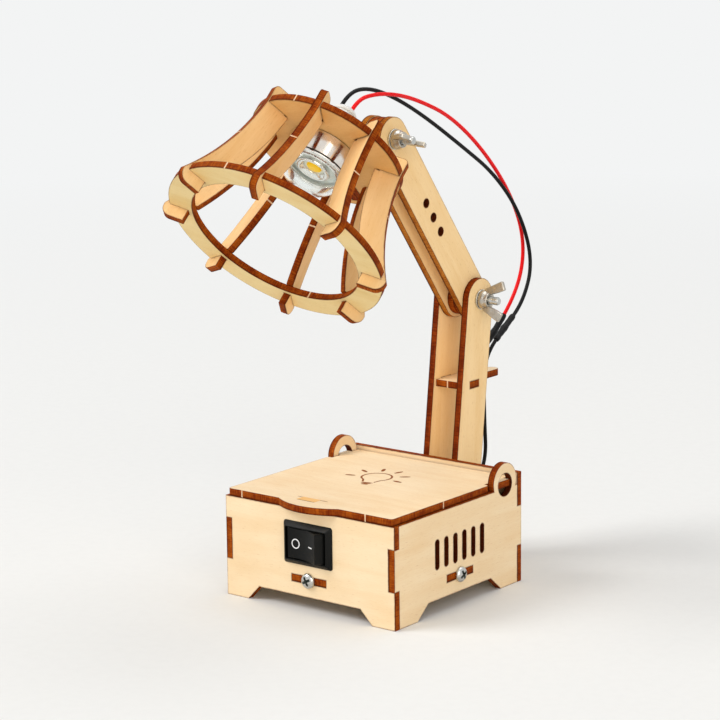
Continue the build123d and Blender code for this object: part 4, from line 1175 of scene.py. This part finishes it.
def buildNeck():
    d = neckDims
    r, low, top, flange, mouth = d["radius"], d["low"], d["top"], d["flange"], d["mouth"]
    inner, ease, tall, lead = r - d["grooveDeep"], d["ease"], d["grooveTall"], d["lead"]
    profile = [(0, low), (r, low), (r, d["flangeLow"]), (flange, d["flangeLow"]), (flange, d["flangeHigh"]),
               (r, d["flangeHigh"] + 0.3)]
    for below in d["grooves"]:
        z = top - below
        profile += [(r, z), (inner, z + ease), (inner, z + tall), (r, z + tall + ease)]
    profile += [(r, top - lead), (r - 0.8, top), (mouth, top), (mouth - 0.3, top - lead), (0, top - lead)]
    lampPiece("lampNeck", softProfile(profile, 2 * ease), "white_plastic", "lamp_neck", [neckWhite])


buildSink()
buildTrim()
buildLens()
buildLed()
buildNeck()
print("lamp built")


# leads, whose points are mm about the middle of the base

leadDims = {"radius": 0.7, "sleeve": 1.15, "sides": 14, "fine": 14}
leadRoutes = {
    "black": [(-1.6, -14.21, 170.39), (-1.6, -9.7, 174.79), (-1.6, 0.5, 175.6), (-1.5, 14.5, 171.4),
              (-1.2, 32.0, 162.9), (-0.6, 51.83, 151.14), (-0.2, 62.4, 144.55), (0.2, 72.1, 138.5), (1.2, 87.2, 122.3),
              (2.4, 94.0, 103.2), (3.2, 86.3, 89.0), (3.6, 79.3, 85.1), (3.96, 73.0, 81.59), (4.2, 67.6, 78.1),
              (4.5, 60.85, 73.74), (4.3, 59.7, 63.0), (4.2, 60.4, 48.0), (4.0, 61.6, 35.0), (3.2, 56.4, 25.6),
              (2.2, 46.5, 23.6), (1.7, 38.0, 24.0), (1.6, 32.0, 24.2)],
    "red": [(1.6, -12.67, 168.82), (1.6, -8.95, 172.45), (1.7, 0.0, 173.6), (1.7, 11.5, 172.6), (1.6, 24.5, 169.4),
            (1.2, 43.9, 162.1), (0.9, 54.35, 155.0), (0.6, 64.8, 147.9), (-0.4, 84.2, 128.9), (-1.6, 94.6, 110.1),
            (-2.6, 91.8, 92.8), (-3.2, 83.2, 84.2), (-3.65, 76.75, 77.75), (-4.2, 71.0, 73.2), (-4.75, 65.25, 68.65),
            (-4.6, 62.0, 59.0), (-4.4, 61.5, 46.0), (-4.0, 61.4, 33.5), (-3.2, 56.0, 25.2), (-2.2, 46.5, 23.4),
            (-1.7, 38.0, 23.6), (-1.6, 32.0, 23.8)]}
leadStretches = {"Head": (0, 6), "Arm": (6, 11), "Sleeve": (11, 13), "Low": (13, 21)}     # first and last point
sleeveDims = {"end": 0.84, "quick": 9, "belly": 0.1, "lumps": ((0.06, 13, 1), (0.04, 29, 0))}


def splineLine(name, route):
    # the smooth line of a route, in metres
    curve = bpy.data.curves.new(name, "CURVE")
    curve.dimensions = "3D"
    spline = curve.splines.new("NURBS")
    spline.points.add(len(route) - 1)
    for point, place in zip(spline.points, route):
        point.co = (*(basePlace @ Vector(place)), 1)
    spline.order_u = 3
    spline.use_endpoint_u = True
    spline.resolution_u = leadDims["fine"]
    mesh = baked(linked(name + "Line", curve))
    line = [vertex.co.copy() for vertex in mesh.vertices]
    bpy.data.meshes.remove(mesh)
    start = basePlace @ Vector(route[0])
    return line if (line[0] - start).length <= (line[-1] - start).length else line[::-1]


def tubeMesh(name, line, radius, material, swell=None):
    # a tube with the frame carried along the line, and closed ends
    rings = []
    way = (line[1] - line[0]).normalized()
    side = way.orthogonal().normalized()
    turns = [2 * math.pi * k / leadDims["sides"] for k in range(leadDims["sides"])]
    for i, place in enumerate(line):
        before, after = line[max(i - 1, 0)], line[min(i + 1, len(line) - 1)]
        new = (after - before).normalized()
        side = (way.rotation_difference(new) @ side).normalized()
        way = new
        other = way.cross(side)
        r = radius * mm * (swell(i / (len(line) - 1)) if swell else 1)
        rings.append([place + (side * math.cos(a) + other * math.sin(a)) * r for a in turns])
    return loftMesh(name, rings, [material])


def lineLength(line):
    return sum((b - a).length for a, b in zip(line, line[1:]))


def sleeveSwell(share):
    # shrunk down over the wire at both ends, with faint lumps over the joint inside
    d = sleeveDims
    ends = d["end"] + (1 - d["end"]) * min(1, share * d["quick"], (1 - share) * d["quick"])
    lumps = sum(tall * math.sin(waves * share + start) for tall, waves, start in d["lumps"])
    return ends + d["belly"] * math.sin(math.pi * share) ** 4 + lumps


def declareCord(piece, line, **more):
    tuple(line[0])
    round(lineLength(line), 4)
    [tuple(p) for p in line]


def buildLeads():
    r = leadDims["radius"]
    for colour, material, slot in (("black", blackSkin, "black_insulation"), ("red", redSkin, "red_insulation")):
        lines = {part: splineLine(colour + part, leadRoutes[colour][first:last + 1])
                 for part, (first, last) in leadStretches.items()}
        for part, first, second in (("Head", "head", "arm"), ("Arm", "arm", "base")):
            line = lines[part]
            piece = linked(colour + part + "Lead", smoothed(tubeMesh(colour + part, line, r, material), 60))
            tuple(line[0])
            tuple(line[-1])
            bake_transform(piece)
            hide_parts("lead_" + colour + "_" + part.lower())
            declareCord(piece, line)
        sleeve = tubeMesh(colour + "Sleeve", lines["Sleeve"], leadDims["sleeve"], shrinkSkin, sleeveSwell)
        sleeve = settle(colour + "SleeveLead", sleeve, None, "base", ["lead_" + colour + "_sleeve"], 60)
        low = settle(colour + "LowLead", tubeMesh(colour + "Low", lines["Low"], r, blackSkin), None, "base",
                     ["lead_" + colour + "_low"], 60)
        declareCord(low, lines["Low"], with_pieces=[sleeve])
        print(colour, "lead", {part: round(lineLength(lines[part]) / mm, 1) for part in lines})


buildLeads()


# cells, and the small pieces inside the base that keep their solids

cellDims = {"radius": 7.25, "length": 50.5, "nub": 2.75, "nubLong": 1.3, "pitch": 15.0, "height": 8.55, "y": 6.0,
            "z": 12.4, "lip": 1.1, "low": 0.05, "high": 0.15, "ease": 0.3}


def buildCells():
    d = cellDims
    r, body, lip, nub, length = d["radius"], d["length"] - d["nubLong"], d["radius"] - d["lip"], d["nub"], d["length"]
    low, high, ease = d["low"], body - d["high"], d["ease"]
    jacket = softProfile([(lip, 0.0), (r, 0.0), (r, body), (lip, body)], 2 * ease)
    ends = softProfile([(0, low), (lip, low), (lip, high), (nub + ease, high), (nub, body), (nub, length), (0, length)],
                       ease)
    meshes = []
    for side, turn in ((-0.5, -90), (0.5, 90)):
        place = move(0, d["y"] + side * d["pitch"], d["z"] + d["height"]) @ spin("Y", turn) @ move(0, 0, -length / 2)
        for profile, material in ((jacket, cellJacket), (ends, nickel)):
            meshes.append(placed(latheMesh("cell", profile, [material], 64), place))
    settle("batteryCells", joined("batteryCells", meshes), basePlace, "base", ["battery_cells"], 40)


buildCells()
for node, material in (("base_nuts", zinc), ("switch_terminals", nickel), ("battery_contacts", nickel),
                       ("battery_tray", trayBlack)):
    cadNodes[node].data.materials.clear()
    cadNodes[node].data.materials.append(material)
print("inner pieces painted")


# floor, light and camera

studio = {"floor": srgb(232, 233, 232), "grain": (0.6, 0.6, 0.6, 1), "back": srgb(243, 244, 244), "size": 4.0,
          "fade": (0.25, 1.1), "world": (0.95, 0.96, 1.0, 1), "worldLight": 0.4, "aim": (0, 0, 0.08)}
studioLights = {"key": {"from": (-2.2, -2.4, 3.1), "size": 2.1, "power": 116.0, "colour": (1.0, 0.985, 0.96)},
                "fill": {"from": (2.9, -2.1, 1.3), "size": 2.7, "power": 57.0, "colour": (1.0, 0.925, 0.79)},
                "top": {"from": (0.45, 1.05, 3.5), "size": 2.7, "power": 44.0, "colour": (1.0, 0.98, 0.95)}}


def seenOn(tree):
    # one for rays that show the studio itself: to the camera, in a mirror or through glass
    path = nodeOn(tree, "ShaderNodeLightPath")
    indirect = mathOn(tree, "MAXIMUM", path["Is Glossy Ray"], path["Is Transmission Ray"])
    return mathOn(tree, "MAXIMUM", path["Is Camera Ray"], indirect)


def buildFloor():
    size = studio["size"]
    corners = [(-size, -size, 0), (size, -size, 0), (size, size, 0), (-size, size, 0)]
    material = bpy.data.materials.new("studioPaper")
    material.use_nodes = True
    tree = material.node_tree
    coord = nodeOn(tree, "ShaderNodeTexCoord")["Object"]
    grain = rangeOn(tree, noiseOn(tree, coord, (260, 260, 260), 3.0, 0.5), 0.4, 0.7, 0.0, 0.05)
    shader = feed(tree, tree.nodes["Principled BSDF"], {
        "Base Color": mixOn(tree, grain, studio["floor"], studio["grain"]), "Roughness": 0.9, **shine(0.1)})
    reach = nodeOn(tree, "ShaderNodeVectorMath", {0: coord}, operation="LENGTH")["Value"]
    away = mathOn(tree, "MULTIPLY", rangeOn(tree, reach, *studio["fade"]), seenOn(tree))
    paper = nodeOn(tree, "ShaderNodeEmission", {"Color": studio["back"]})
    blendSurface(tree, away, shader.outputs[0], paper[0], "Material Output")
    linked("studioFloor", plainMesh("studioFloor", corners, [(0, 1, 2, 3)], [material]))


def buildWorld():
    world = bpy.data.worlds.new("studioWorld")
    bpy.context.scene.world = world
    world.use_nodes = True
    tree = world.node_tree
    light = feed(tree, tree.nodes["Background"], {"Color": studio["world"], "Strength": studio["worldLight"]})
    pale = nodeOn(tree, "ShaderNodeBackground", {"Color": studio["back"], "Strength": 1.0})
    blendSurface(tree, seenOn(tree), light.outputs[0], pale[0], "World Output")


def buildLights():
    for name, d in studioLights.items():
        lamp = bpy.data.lights.new(name + "Light", "AREA")
        lamp.size, lamp.energy, lamp.color = d["size"], d["power"], d["colour"]
        holder = linked(name + "Light", lamp)
        holder.location = d["from"]
        holder.rotation_euler = (Vector(studio["aim"]) - Vector(d["from"])).to_track_quat("-Z", "Y").to_euler()


viewDims = {"right": (0.7863, 0.61775, -0.01109), "up": (-0.1173, 0.16687, 0.97898),
            "ahead": (-0.60661, 0.76847, -0.20367), "place": (537.389, -688.105, 263.263), "lens": 129.0,
            "sensor": 36.0, "near": 0.02}


def buildCamera():
    d = viewDims
    camera = bpy.data.cameras.new("photoCamera")
    camera.lens, camera.sensor_width, camera.clip_start = d["lens"], d["sensor"], d["near"]
    holder = linked("photoCamera", camera)
    turn = Matrix((d["right"], d["up"], [-value for value in d["ahead"]])).transposed().to_4x4()
    holder.matrix_world = Matrix.Translation(basePlace @ Vector(d["place"])) @ turn
    bpy.context.scene.camera = holder


buildFloor()
buildWorld()
buildLights()
buildCamera()
bpy.context.scene.view_settings.view_transform = "Standard"
bpy.context.view_layer.update()
